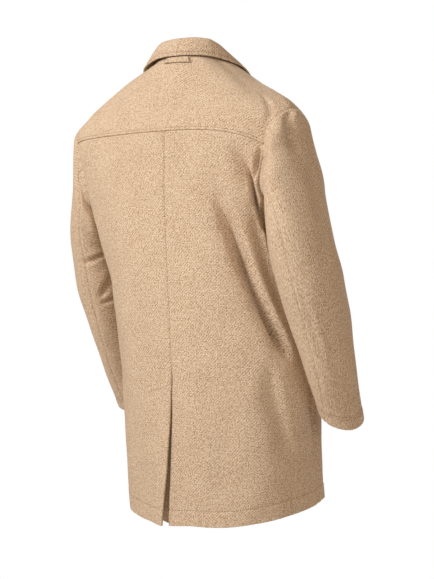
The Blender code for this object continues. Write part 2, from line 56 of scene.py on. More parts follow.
# %% Smooth lines through a few measures
def curve(knots, values, at):
    """Cubic through rows of values; each slope is the weighted harmonic mean of its neighbours."""
    knots = np.asarray(knots, float)
    values = np.asarray(values, float)
    at = np.asarray(at, float)
    width = np.diff(knots)[:, None]
    table = values.reshape(len(knots), -1)
    slope = np.diff(table, axis=0) / width
    before, after = slope[:-1], slope[1:]
    heavy = 2 * width[1:] + width[:-1]
    light = width[1:] + 2 * width[:-1]
    turning = before * after <= 0
    safe_before = np.where(turning, 1.0, before)
    safe_after = np.where(turning, 1.0, after)
    mean = (heavy + light) / (heavy / safe_before + light / safe_after)
    tangent = np.vstack([slope[:1], np.where(turning, 0.0, mean), slope[-1:]])
    cell = np.clip(np.searchsorted(knots, at) - 1, 0, len(width) - 1)
    step = width[cell, 0][..., None]
    t = (at - knots[cell])[..., None] / step
    start, end = table[cell], table[cell + 1]
    result = (start * (1 + 2 * t) * (1 - t) ** 2 + end * t * t * (3 - 2 * t)
              + step * tangent[cell] * t * (1 - t) ** 2 - step * tangent[cell + 1] * t * t * (1 - t))
    return result.reshape(at.shape + values.shape[1:])


def ease(low, high, value):
    """Soft step from 0 at low to 1 at high: 3t^2 - 2t^3."""
    t = np.clip((value - low) / (high - low), 0.0, 1.0)
    return t * t * (3 - 2 * t)


def unit(vectors):
    """Vectors divided by their lengths."""
    return vectors / np.linalg.norm(vectors, axis=-1, keepdims=True)


def named(columns, rows):
    """A table's columns by name."""
    return {name: rows[..., k] for k, name in enumerate(columns)}


print("halfway up a soft step:", ease(0.0, 1.0, 0.5))

# %% [markdown]
# ## The body of the coat
# The body is a tube whose section changes from hem to neck. A table gives the section's radii and
# middle at a few heights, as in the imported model, and a point on the cloth is a function of two
# parameters: the angle round the body, 0 at the middle back, and the height at the side. A worn hem
# is never quite level, so a second table lets it hang lower or higher on its way round.

# %% Sections of the body
NECK = 0.012
SHOULDER_TIP = -0.096
UNDERARM = -0.275
VENT_TOP = -0.595
HEM = -0.826
YOKE_AT_BACK = -0.128
QUARTER = np.pi / 2
BODY_COLUMNS = ("height", "at_back", "at_front", "half_width", "back", "front",
                "mid_x", "mid_y", "turn", "lean")
BODY = np.array([
    (HEM, -0.857, -0.815, 0.198, 0.157, 0.160, -0.053, -0.045, -13.0, 0.00),
    (-0.600, -0.603, -0.598, 0.201, 0.142, 0.150, -0.046, -0.028, -8.0, 0.00),
    (-0.420, -0.420, -0.420, 0.198, 0.134, 0.138, -0.024, -0.024, -3.0, 0.00),
    (UNDERARM, -0.275, -0.275, 0.217, 0.112, 0.138, -0.006, -0.010, 0.0, 0.00),
    (-0.200, -0.200, -0.204, 0.237, 0.097, 0.135, -0.002, 0.000, 0.0, -0.02),
    (-0.150, -0.149, -0.166, 0.247, 0.086, 0.134, 0.000, 0.008, 0.0, -0.02),
    (-0.115, -0.113, -0.146, 0.246, 0.077, 0.132, 0.000, 0.012, 0.0, -0.02),
    (-0.085, -0.080, -0.130, 0.221, 0.070, 0.125, 0.000, 0.010, 0.0, -0.03),
    (-0.055, -0.046, -0.115, 0.179, 0.070, 0.112, 0.000, -0.003, 0.0, -0.008),
    (-0.025, -0.012, -0.101, 0.132, 0.074, 0.098, 0.000, -0.020, 0.0, 0.025),
    (NECK, 0.018, -0.082, 0.072, 0.074, 0.085, 0.000, -0.030, 0.0, 0.010),
])
SQUARENESS = 0.12
HEM_LINE = np.array([
    (-180.0, 0.0), (-130.0, 0.010), (-112.0, 0.013), (-95.0, 0.004), (-80.0, -0.003), (-60.0, -0.0075),
    (-44.0, -0.0065), (-28.0, -0.002), (-13.0, 0.003), (0.0, 0.001), (12.0, 0.0045), (40.0, 0.004),
    (65.0, 0.014), (100.0, 0.014), (140.0, 0.006), (180.0, 0.0),
])
HEM_LINE_TOP = -0.62
NUDGE = 1e-4


def body_width(height):
    """Half width of the body at a height."""
    return np.interp(height, BODY[:, 0], BODY[:, BODY_COLUMNS.index("half_width")])


def hem_line(angle, height):
    """How far the cloth hangs off the level hem: nothing at the hip, all of it at the hem."""
    round_once = np.mod(np.degrees(angle) + 180.0, 360.0) - 180.0
    return curve(HEM_LINE[:, 0], HEM_LINE[:, 1], round_once) * ease(HEM_LINE_TOP, HEM, height)


def body_point(angle, height):
    """Squared ellipse at each height, turned about the vertical, with a level at back and front."""
    angle, height = np.broadcast_arrays(np.asarray(angle, float), np.asarray(height, float))
    size = named(BODY_COLUMNS, curve(BODY[:, 0], BODY, height))
    c, s = np.cos(angle), np.sin(angle)
    behind = c > 0
    across = size["half_width"] * s
    along = np.where(behind, size["back"], size["front"]) * c * (1 + SQUARENESS * s * s)
    turn = np.radians(size["turn"])
    x = size["mid_x"] + across * np.cos(turn) - along * np.sin(turn)
    y = size["mid_y"] + across * np.sin(turn) + along * np.cos(turn)
    end = np.where(behind, size["at_back"], size["at_front"])
    z = height + c * c * (end - height) + size["lean"] * across + hem_line(angle, height)
    return np.stack([x, y, z], axis=-1)


def outward(surface, first, second, sign=1.0):
    """Unit normal: the cross product of small steps along the two parameters."""
    along_first = surface(first + NUDGE, second) - surface(first - NUDGE, second)
    along_second = surface(first, second + NUDGE) - surface(first, second - NUDGE)
    return sign * unit(np.cross(along_second, along_first))


print("middle of the hem at the back:", body_point(0.0, HEM).round(3))

# %% [markdown]
# ## The armholes and the sleeves
# Each armhole is an oval cut out of the body round the shoulder. A sleeve is a second tube: a table
# gives a point on its outer line, one on its inner line and its depth at a row of stations, and the
# first stations bend the tube to meet the armhole. The left arm is held forward, the right one hangs.

# %% Armholes
HOLE_COLUMNS = ("to_back", "to_front", "square")
HOLES = {1: np.array((27.0, 36.0, 0.0)), -1: np.array((43.0, 36.0, 5.0))}
YOKE_END = {1: np.radians(54.0), -1: np.radians(75.0)}


def hole_place(side, phi):
    """Angle and height of the armhole's edge: phi is 0 at the shoulder, a quarter turn at the back."""
    hole = named(HOLE_COLUMNS, HOLES[side])
    at_back = hole["to_back"] * np.sin(phi) + hole["square"] * np.sin(3 * phi)
    reach = np.where(np.sin(phi) > 0, at_back, hole["to_front"] * np.sin(phi))
    angle = side * (QUARTER - np.radians(reach))
    middle = (SHOULDER_TIP + UNDERARM) / 2
    height = middle + (SHOULDER_TIP - UNDERARM) / 2 * np.cos(phi)
    return angle, height


# %% Sleeves
SLEEVE_COLUMNS = ("outer_x", "outer_y", "outer_z", "inner_x", "inner_y", "inner_z",
                  "depth", "dip", "swing")
LEFT_SLEEVE = np.array([
    (0.249, 0.001, -0.114, 0.2215, -0.012, -0.281, 0.055, 0.0, 16.0),
    (0.262, -0.007, -0.150, 0.2230, -0.022, -0.290, 0.061, 0.0, 18.0),
    (0.273, -0.020, -0.210, 0.2190, -0.036, -0.306, 0.068, 5.0, 18.0),
    (0.297, -0.054, -0.320, 0.1990, -0.068, -0.346, 0.069, 14.0, 10.0),
    (0.303, -0.080, -0.395, 0.1980, -0.094, -0.411, 0.068, 20.0, 4.0),
    (0.293, -0.112, -0.475, 0.1960, -0.119, -0.486, 0.065, 24.0, 0.0),
    (0.284, -0.151, -0.565, 0.1970, -0.151, -0.571, 0.057, 26.0, 0.0),
    (0.275, -0.189, -0.645, 0.1950, -0.190, -0.651, 0.050, 26.0, 0.0),
])
RIGHT_SLEEVE = np.array([
    (-0.243, 0.019, -0.106, -0.2285, 0.005, -0.281, 0.079, 0.0, 10.0),
    (-0.245, 0.028, -0.145, -0.2310, 0.016, -0.291, 0.079, 0.0, 14.0),
    (-0.268, 0.037, -0.205, -0.2220, 0.041, -0.309, 0.080, -4.0, 15.0),
    (-0.318, 0.053, -0.322, -0.2120, 0.059, -0.346, 0.081, -6.0, 12.0),
    (-0.337, 0.048, -0.402, -0.2290, 0.051, -0.420, 0.077, 2.0, 6.0),
    (-0.344, 0.031, -0.475, -0.2430, 0.034, -0.490, 0.068, 10.0, 2.0),
    (-0.347, 0.010, -0.572, -0.2640, 0.010, -0.580, 0.055, 18.0, 0.0),
    (-0.345, -0.014, -0.671, -0.2780, -0.018, -0.625, 0.044, 26.0, 0.0),
])
HOLE_FADE = 3.0


def sleeve_surface(side):
    """Ellipses between an outer and an inner line; the first ones are moved to meet the armhole."""
    table = LEFT_SLEEVE if side > 0 else RIGHT_SLEEVE
    tip = body_point(*hole_place(side, np.array(0.0)))
    pit = body_point(*hole_place(side, np.array(np.pi)))
    first_sizes = table[0, SLEEVE_COLUMNS.index("depth"):]
    stations = np.vstack([np.concatenate([tip, pit, first_sizes]), table])
    knots = np.arange(len(stations))

    def ring(phi, station):
        """Middle + reach cos(phi) + rear x depth sin(phi), with rear square to the reach."""
        row = curve(knots, stations, station)
        outer, inner, size = row[..., 0:3], row[..., 3:6], named(SLEEVE_COLUMNS, row)
        dip, swing = np.radians(size["dip"]), np.radians(size["swing"])
        reach = (outer - inner) / 2
        rear = np.stack([-side * np.sin(swing), np.cos(dip), -np.sin(dip)], axis=-1)
        along = unit(reach)
        rear = unit(rear - along * np.sum(rear * along, axis=-1, keepdims=True))
        to_back = np.sin(phi) * size["depth"]
        return (outer + inner) / 2 + np.cos(phi)[..., None] * reach + to_back[..., None] * rear

    def surface(phi, station):
        """Ring + what it misses the armhole by, which fades out over the first stations."""
        phi, station = np.broadcast_arrays(np.asarray(phi, float), np.asarray(station, float))
        hole = body_point(*hole_place(side, phi))
        misfit = hole - ring(phi, np.zeros(phi.shape))
        keep = 1 - ease(0.0, HOLE_FADE, station)
        return ring(phi, station) + keep[..., None] * misfit

    return surface


SLEEVES = {1: sleeve_surface(1), -1: sleeve_surface(-1)}
CUFF = float(len(RIGHT_SLEEVE))
print("right cuff, outer side:", SLEEVES[-1](0.0, CUFF).round(3))

# %% [markdown]
# ## Creases
# Worn cloth folds where the body bends and where an arm pulls it. A crease here is a bent line on
# the flat cloth, given by three places, with a depth and a width. Across the line the cloth sinks
# in a soft bell and rises a little on both sides, because the cloth that goes in has to come from
# somewhere. Cloth simulation could fold it too, but the creases would not lie where they should.

# %% Soft troughs along bent lines
CREASE_COLUMNS = ("from_x", "from_y", "via_x", "via_y", "to_x", "to_y",
                  "depth", "width", "lip", "start", "finish", "bias")
CREASE_STEPS = 20
LIP_REACH = 2.3


def nearest_on_line(points, line):
    """Distance of points from a line of straight steps, and the step, its share and the offset there.

    The share of a step s nearest to a point p from its start is p s / s s, kept between 0 and 1.
    """
    step = np.diff(line, axis=0)
    toward = points[:, None] - line[:-1]
    share = np.clip(np.sum(toward * step, axis=-1) / np.sum(step * step, axis=-1), 0.0, 1.0)
    aside = toward - share[..., None] * step
    away = np.linalg.norm(aside, axis=-1)
    nearest = np.argmin(away, axis=1)
    which = np.arange(len(nearest))
    return away[which, nearest], nearest, share[which, nearest], aside[which, nearest]


def crease_height(table, x, y, scale_x, place_y):
    """Sum of creases: -depth ((1 + lip) e^(-s^2) - lip e^(-(s/2.3)^2)), with s in widths.

    s is the distance from a quadratic curve through the flat cloth. The crease grows in over the
    first share of the line, start, and dies away over the last one, finish. A bias makes one flank
    wide and the other one steep: width (1 + bias) on one hand and width (1 - bias) on the other.
    """
    flat = np.stack([x * scale_x, place_y(y)], axis=-1).reshape(-1, 2)
    t = np.linspace(0.0, 1.0, CREASE_STEPS + 1)
    weights = np.stack([(1 - t) ** 2, 2 * t * (1 - t), t * t])
    total = np.zeros(flat.shape[0])
    for row in table:
        crease = named(CREASE_COLUMNS, row)
        line_x = np.radians(row[[0, 2, 4]]) @ weights * scale_x
        line_y = place_y(row[[1, 3, 5]] @ weights)
        line = np.stack([line_x, line_y], axis=-1)
        away, step, share, off = nearest_on_line(flat, line)
        run = np.diff(line, axis=0)[step]
        hand = np.sign(run[:, 0] * off[:, 1] - run[:, 1] * off[:, 0])
        s = away / (crease["width"] * (1 + crease["bias"] * hand))
        along = (step + share) / CREASE_STEPS
        swell = ease(0.0, crease["start"], along) * ease(1.0, 1 - crease["finish"], along)
        bell = (1 + crease["lip"]) * np.exp(-s ** 2)
        total -= crease["depth"] * swell * (bell - crease["lip"] * np.exp(-(s / LIP_REACH) ** 2))
    return total.reshape(np.shape(x))


# %% Slow waves of the cloth
WAVE_COLUMNS = ("length", "heading", "height", "phase")
SLOW_WAVES = np.array([
    (0.170, 8.0, 0.0009, 0.4),
    (0.113, -24.0, 0.0006, 2.1),
    (0.083, 62.0, 0.0004, 4.0),
    (0.059, 17.0, 0.0003, 1.2),
])


def slow_waves(across, along):
    """Sum of sine waves; the heading in degrees turns a wave from across towards along."""
    total = np.zeros(np.shape(across))
    for row in SLOW_WAVES:
        wave = named(WAVE_COLUMNS, row)
        heading = np.radians(wave["heading"])
        way = across * np.cos(heading) + along * np.sin(heading)
        total += wave["height"] * np.sin(2 * np.pi * way / wave["length"] + wave["phase"])
    return total


# %% Creases of the body
BODY_ROUND = 0.2
BODY_CREASES = np.array([
    # Long trough from the right shoulder blade to the hip: wide, narrow and its tail
    (-23.0, -0.190, -40.0, -0.345, -80.0, -0.560, 0.0235, 0.0190, 0.15, 0.45, 0.15, 0.45),
    (-25.0, -0.230, -41.0, -0.372, -78.0, -0.556, 0.0200, 0.0080, 0.30, 0.45, 0.15, 0.1),
    (-58.0, -0.545, -66.0, -0.640, -84.0, -0.760, 0.0100, 0.0210, 0.15, 0.30, 0.50, 0.3),
    # Folds beside the right armpit and the gap below it
    (-35.0, -0.160, -46.5, -0.208, -53.5, -0.272, 0.0070, 0.0100, 0.20, 0.40, 0.06, 0.2),
    (-40.0, -0.180, -50.5, -0.246, -60.5, -0.318, 0.0165, 0.0038, 0.20, 0.45, 0.12, 0.25),
    (-51.5, -0.158, -48.3, -0.198, -49.4, -0.246, 0.0130, 0.0046, 0.25, 0.40, 0.60, 0.45),
    (-32.0, -0.140, -39.0, -0.185, -48.0, -0.255, 0.0050, 0.014, 0.25, 0.40, 0.30, 0.0),
    (-55.2, -0.256, -67.4, -0.360, -84.5, -0.488, 0.0300, 0.0068, 0.10, 0.16, 0.20, -0.25),
    (-49.0, -0.262, -60.0, -0.360, -82.0, -0.530, 0.0090, 0.0170, 0.10, 0.25, 0.35, 0.0),
    # Valley along the right side, and the notch where the yoke meets the sleeve
    (-95.0, -0.565, -100.0, -0.660, -106.0, -0.770, 0.0160, 0.0100, 0.30, 0.35, 0.45, 0.0),
    (-65.0, -0.062, -58.0, -0.098, -51.5, -0.150, 0.0045, 0.0085, 0.25, 0.40, 0.30, 0.0),
    # Faint ones on the left back and the skirt
    (66.0, -0.225, 72.0, -0.262, 79.0, -0.300, 0.0040, 0.008, 0.25, 0.40, 0.30, 0.0),
    (48.0, -0.300, 58.0, -0.390, 72.0, -0.470, 0.0022, 0.020, 0.20, 0.45, 0.45, 0.0),
    (24.0, -0.560, 27.0, -0.680, 31.0, -0.830, 0.0022, 0.022, 0.20, 0.50, 0.20, 0.0),
    (-32.0, -0.600, -34.0, -0.710, -38.0, -0.840, 0.0026, 0.026, 0.20, 0.50, 0.20, 0.0),
    # Fronts
    (-148.0, -0.210, -130.0, -0.300, -108.0, -0.400, 0.0060, 0.018, 0.25, 0.40, 0.40, 0.0),
    (-140.0, -0.520, -130.0, -0.640, -124.0, -0.800, 0.0050, 0.020, 0.25, 0.40, 0.20, 0.0),
    (150.0, -0.230, 134.0, -0.330, 112.0, -0.440, 0.0055, 0.017, 0.25, 0.40, 0.40, 0.0),
    (138.0, -0.540, 128.0, -0.660, 122.0, -0.810, 0.0048, 0.022, 0.25, 0.40, 0.20, 0.0),
    (168.0, -0.340, 150.0, -0.355, 132.0, -0.385, 0.0030, 0.012, 0.25, 0.15, 0.60, 0.0),
    (-166.0, -0.480, -150.0, -0.500, -134.0, -0.540, 0.0028, 0.013, 0.25, 0.30, 0.60, 0.0),
])


def body_creases(angle, height):
    """Creases and slow waves of the body at an angle and a height."""
    folds = crease_height(BODY_CREASES, angle, height, BODY_ROUND, lambda y: y)
    return folds + slow_waves(angle * BODY_ROUND, height)


print(len(BODY_CREASES), "creases on the body")

# %% Creases of the sleeves
SLEEVE_ROUND = 0.062
WAVE_SHIFT = 0.3
LEFT_SLEEVE_CREASES = np.array([
    (80.0, 4.30, 112.0, 4.16, 142.0, 3.92, 0.0100, 0.0042, 0.40, 0.50, 0.10, 0.0),
    (150.0, 4.50, 126.0, 4.84, 104.0, 5.22, 0.0110, 0.0065, 0.35, 0.10, 0.50, 0.0),
    (104.0, 5.28, 122.0, 5.26, 150.0, 5.10, 0.0070, 0.0042, 0.40, 0.40, 0.10, 0.0),
    (150.0, 0.90, 138.0, 2.20, 126.0, 3.90, -0.0100, 0.0160, 0.00, 0.30, 0.25, 0.0),
    (70.0, 1.20, 84.0, 2.40, 96.0, 3.60, 0.0030, 0.0120, 0.20, 0.40, 0.40, 0.0),
    (186.0, 3.40, 216.0, 3.80, 244.0, 4.30, 0.0070, 0.0070, 0.30, 0.25, 0.40, 0.0),
    (190.0, 4.20, 222.0, 4.40, 252.0, 4.80, 0.0060, 0.0060, 0.30, 0.25, 0.40, 0.0),
    (194.0, 5.20, 224.0, 5.10, 256.0, 5.20, 0.0050, 0.0065, 0.30, 0.25, 0.40, 0.0),
    (-30.0, 1.60, -48.0, 2.40, -64.0, 3.40, 0.0045, 0.0130, 0.20, 0.40, 0.40, 0.0),
    (40.0, 6.00, 30.0, 6.60, 26.0, 7.40, 0.0022, 0.0110, 0.20, 0.40, 0.40, 0.0),
])
RIGHT_SLEEVE_CREASES = np.array([
    (24.0, 0.20, 18.0, 1.50, 2.0, 2.90, 0.0110, 0.0090, 0.25, 0.15, 0.50, 0.0),
    (-24.0, 2.50, -2.0, 3.50, 34.0, 5.00, 0.0035, 0.0130, 0.25, 0.40, 0.45, 0.0),
    (104.0, 0.50, 98.0, 1.30, 90.0, 2.60, 0.0040, 0.0080, 0.30, 0.30, 0.45, 0.0),
    (76.0, 4.90, 84.0, 5.70, 62.0, 7.00, 0.0030, 0.0100, 0.25, 0.40, 0.40, 0.0),
    (150.0, 1.40, 132.0, 2.20, 120.0, 3.20, 0.0045, 0.0080, 0.25, 0.30, 0.40, 0.0),
    (210.0, 3.30, 232.0, 3.70, 256.0, 4.20, 0.0055, 0.0070, 0.30, 0.25, 0.40, 0.0),
    (204.0, 4.30, 230.0, 4.50, 258.0, 4.90, 0.0050, 0.0065, 0.30, 0.25, 0.40, 0.0),
    (-78.0, 1.20, -92.0, 2.20, -102.0, 3.40, 0.0045, 0.0130, 0.20, 0.40, 0.40, 0.0),
    (56.0, 5.60, 48.0, 6.40, 44.0, 7.30, 0.0020, 0.0110, 0.20, 0.40, 0.40, 0.0),
])
SLEEVE_CREASES = {1: LEFT_SLEEVE_CREASES, -1: RIGHT_SLEEVE_CREASES}
RING = np.linspace(0.0, 2 * np.pi, 33)[:-1]
STATIONS = np.linspace(0.0, CUFF, 161)


def sleeve_length(side):
    """Length along the sleeve's middle line, from the armhole to each of the stations."""
    middle = SLEEVES[side](RING[None, :], STATIONS[:, None]).mean(axis=1)
    return np.concatenate([[0.0], np.cumsum(np.linalg.norm(np.diff(middle, axis=0), axis=1))])


SLEEVE_LENGTHS = {side: sleeve_length(side) for side in (1, -1)}


def sleeve_creases(side, phi, station):
    """Creases and slow waves of a sleeve at a turn round the arm and a station along it."""
    def place(y):
        """Length along the sleeve at a station."""
        return np.interp(y, STATIONS, SLEEVE_LENGTHS[side])
    folds = crease_height(SLEEVE_CREASES[side], phi, station, SLEEVE_ROUND, place)
    return folds + slow_waves(phi * SLEEVE_ROUND + side * WAVE_SHIFT, place(station))


print("sleeve lengths:", {side: round(float(run[-1]), 3) for side, run in SLEEVE_LENGTHS.items()})

# %% [markdown]
# ## Edges and seams
# A seam pulls the cloth in along a line, a lapped seam has a raised edge with a row of stitches
# beside it, and a hem is a turned-up double layer. Each kind of edge has its own sizes: how far the
# cloth dips, how far it is raised, and where the stitches run. The distance from the edge then gives
# the form across it.

# %% Kinds of edges
CLOTH = 0.0025
SEAM_GAP = 0.0003
PLAIN = {"dip": 0.0, "soft": 0.01, "rise": 0.0, "reach": 0.01, "rounded": 0.0, "stitches": ()}
FREE = PLAIN | {"rounded": 1.0}
EDGE_KINDS = {
    "seam": PLAIN | {"dip": 0.0014, "soft": 0.0024},
    "neck": PLAIN | {"dip": 0.0006, "soft": 0.0024},
    "armhole": PLAIN | {"dip": 0.0012, "soft": 0.0030},
    "lapped_under": PLAIN | {"dip": 0.0012, "soft": 0.0040},
    "lapped_over": FREE | {"rise": 0.0012, "reach": 0.0075, "stitches": (0.0055,)},
    "free": FREE,
    "front": FREE | {"rise": 0.0004, "reach": 0.0080, "stitches": (0.0070,)},
    "hem": FREE | {"rise": 0.0007, "reach": 0.0305, "stitches": (0.0290,)},
    "cuff": FREE | {"rise": 0.0007, "reach": 0.0265, "stitches": (0.0200, 0.0250)},
    "leaf": FREE | {"rise": 0.0006, "reach": 0.0075, "stitches": (0.0065,)},
}
STITCH_DIP = 0.0015
STITCH_SOFT = 0.0018
RISE_SOFT = 0.0015


def edge_form(kind, distance):
    """How far the outer and the inner face move out, by the distance from an edge.

    Outer: rise over the reach, minus dip e^(-(d/soft)^2), minus a groove at each row of stitches.
    A free edge is half round: both faces close in over half the cloth's thickness.
    """
    size = EDGE_KINDS[kind]
    outer = size["rise"] * ease(size["reach"] + RISE_SOFT, size["reach"] - RISE_SOFT, distance)
    outer = outer - size["dip"] * np.exp(-(distance / size["soft"]) ** 2)
    for row in size["stitches"]:
        outer = outer - STITCH_DIP * np.exp(-((distance - row) / STITCH_SOFT) ** 2)
    closing = np.clip(1 - 2 * distance / CLOTH, 0.0, 1.0)
    rounding = size["rounded"] * CLOTH / 2 * (1 - np.sqrt(1 - closing ** 2))
    return outer - rounding, rounding


print("kinds of edges:", ", ".join(EDGE_KINDS))

# %% [markdown]
# ## Where a sleeve joins the body
# Both cloths dip into the armhole's seam, so near it their edges have to move the same way. That
# way lies halfway between their two normals. Under the right arm the seam is pulled deep into a fold
# and the sleeve's cloth rolls over it, which gives the dark hollow there.

# %% Joint of body and sleeve
HOLE_TURNS = np.linspace(0.0, 2 * np.pi, 181)
PAST_HOLE = 0.02
JOINT_REACH = 0.005
NEAR_HOLE = 0.05
PIT_TURNS = np.radians((88.0, 110.0, 148.0, 172.0))
PIT_DEPTH = {1: 0.0, -1: 0.020}
BODY_PIT_REACH = 0.0055
SLEEVE_PIT_REACH = 0.0016
PIT_OVER = {1: 0.0, -1: 0.0070}
OVER_REACHES = (0.0014, 0.0140)
OVER_ROW = 7


def hole_joint(side):
    """Armhole's edge and, along it, the direction halfway between the two cloths' normals."""
    place = hole_place(side, HOLE_TURNS)
    of_body = outward(body_point, *place)
    of_sleeve = outward(SLEEVES[side], HOLE_TURNS, np.full(HOLE_TURNS.shape, PAST_HOLE), side)
    return body_point(*place), unit(of_body + of_sleeve)


HOLE_JOINTS = {side: hole_joint(side) for side in (1, -1)}


def from_hole(side, points):
    """Distance from an armhole's edge, and the joint's direction and turn at the nearest place."""
    edge, way = HOLE_JOINTS[side]
    low, high = edge.min(axis=0) - NEAR_HOLE, edge.max(axis=0) + NEAR_HOLE
    near = np.all((points > low) & (points < high), axis=-1)
    distance = np.full(points.shape[:-1], NEAR_HOLE)
    turn = np.zeros(points.shape[:-1])
    joint = np.zeros(points.shape)
    away, step, share, _ = nearest_on_line(points[near], edge)
    distance[near] = np.minimum(away, NEAR_HOLE)
    joint[near] = way[step] * (1 - share[:, None]) + way[step + 1] * share[:, None]
    turn[near] = HOLE_TURNS[step] * (1 - share) + HOLE_TURNS[step + 1] * share
    return distance, joint, turn


def pit_share(turn):
    """1 along the armhole's lower back edge, and softly 0 on both sides of it."""
    first, full, still, last = PIT_TURNS
    return ease(first, full, turn) * ease(last, still, turn)


def pit_dent(side, distance, turn, reach):
    """Sinking beside the armhole's lower back edge: depth e^(-(d/reach)^2)."""
    return PIT_DEPTH[side] * pit_share(turn) * np.exp(-(distance / reach) ** 2)


def pit_roll(side, grid):
    """The sleeve rolls over its sunk edge by over (1 - e^(-(d/near)^2)) e^(-(d/far)^2)."""
    distance, _, turn = from_hole(side, grid)
    near, far = OVER_REACHES
    share = (1 - np.exp(-(distance / near) ** 2)) * np.exp(-(distance / far) ** 2)
    return (PIT_OVER[side] * pit_share(turn) * share)[..., None] * unit(grid[:1] - grid[[OVER_ROW]])


print("round the right armhole:",
      np.linalg.norm(np.diff(HOLE_JOINTS[-1][0], axis=0), axis=1).sum().round(3), "m")

# %% [markdown]
# ## From a grid of points to a piece of cloth
# Every panel is worked out as a grid of points, in whole arrays. The wall maker moves the grid out
# by the creases and the edges' forms, sets a second grid one cloth thickness inside it, and closes
# the border with a strip. Arc lengths along the grid serve as UV coordinates in metres, so that the
# weave keeps its true size and lies along the panel's own grain.

# %% Grid helpers
EDGE_STEPS = np.array((0.0, 0.0004, 0.0010, 0.0018, 0.0030, 0.0048))
CELL = 0.0036


def spaced(length, fine_start=True, fine_end=True, cell=CELL):
    """Shares of a length from 0 to 1, about a cell apart and closer together towards a fine end."""
    start = EDGE_STEPS / length if fine_start else np.zeros(1)
    end = 1 - EDGE_STEPS[::-1] / length if fine_end else np.ones(1)
    count = max(2, int(round((end[0] - start[-1]) * length / cell)))
    return np.concatenate([start, np.linspace(start[-1], end[0], count + 1)[1:-1], end])


def between(near, far, shares):
    """Rows that run from near to far, with one column for each share of the way."""
    return near[:, None] + (far - near)[:, None] * shares[None, :]


def run_along(grid, axis):
    """Arc length from the first point along one axis of a grid."""
    steps = np.linalg.norm(np.diff(grid, axis=axis), axis=-1)
    first = np.zeros_like(np.take(steps, [0], axis=axis))
    return np.concatenate([first, np.cumsum(steps, axis=axis)], axis=axis)


def edge_distances(base):
    """Distance of every grid point from the four edges, along the grid's own lines."""
    up, across = run_along(base, 0), run_along(base, 1)
    return {"low": up, "high": up[-1:] - up, "start": across, "end": across[:, -1:] - across}


def draw_back(grid, edge):
    """Move one edge of a grid in by half the seam gap."""
    here, inside = {"low": (np.s_[0], np.s_[1]), "high": (np.s_[-1], np.s_[-2]),
                    "start": (np.s_[:, 0], np.s_[:, 1]), "end": (np.s_[:, -1], np.s_[:, -2])}[edge]
    grid[here] += unit(grid[inside] - grid[here]) * SEAM_GAP / 2


print("points across 0.3 m of cloth:", len(spaced(0.3)))

# %% Wall maker
COLLECTION = bpy.context.collection


def add_mesh(name, points, faces):
    """A new smooth object in the scene, from points and faces."""
    mesh = bpy.data.meshes.new(name)
    mesh.from_pydata(points, [], faces)
    mesh.shade_smooth()
    piece = bpy.data.objects.new(name, mesh)
    COLLECTION.objects.link(piece)
    return piece


def wall_faces(outer, inner, kept):
    """Quads of the outer grid, of the inner grid turned round, and of the strip along the border."""
    rows, columns = outer.shape[:2]
    r, c = np.nonzero(kept)
    first = r * columns + c
    quads = np.stack([first, first + 1, first + columns + 1, first + columns], axis=1)
    points = outer.reshape(-1, 3)
    corner = points[quads[:, 0]]
    facing = np.cross(points[quads[:, 1]] - corner, points[quads[:, 3]] - corner)
    if np.sum(facing * (outer - inner).reshape(-1, 3)[quads[:, 0]]) < 0:
        quads = quads[:, ::-1]
    size = rows * columns
    sides = np.concatenate([quads[:, [k, (k + 1) % 4]] for k in range(4)])
    key = np.sort(sides, axis=1) @ np.array((size, 1))
    _, index, times = np.unique(key, return_index=True, return_counts=True)
    a, b = sides[index[times == 1]].T
    rim = np.stack([b, a, a + size, b + size], axis=1)
    return np.concatenate([quads, quads[:, ::-1] + size, rim])


def add_wall(name, outer, inner, weave, kept=None):
    """A closed wall between two grids, with the weave's coordinates as its UV map."""
    kept = np.ones(np.array(outer.shape[:2]) - 1, bool) if kept is None else kept
    faces = wall_faces(outer, inner, kept)
    used, corners = np.unique(faces, return_inverse=True)
    points = np.concatenate([outer.reshape(-1, 3), inner.reshape(-1, 3)])[used]
    flat = np.concatenate([weave.reshape(-1, 2)] * 2)[used]
    piece = add_mesh(name, points, corners.reshape(-1, 4).tolist())
    layer = piece.data.uv_layers.new(name="weave")
    layer.data.foreach_set("uv", flat[corners.ravel()].ravel())
    return piece


# %% Cloth maker
SHEETS = {}
CALM_REACH = 0.009


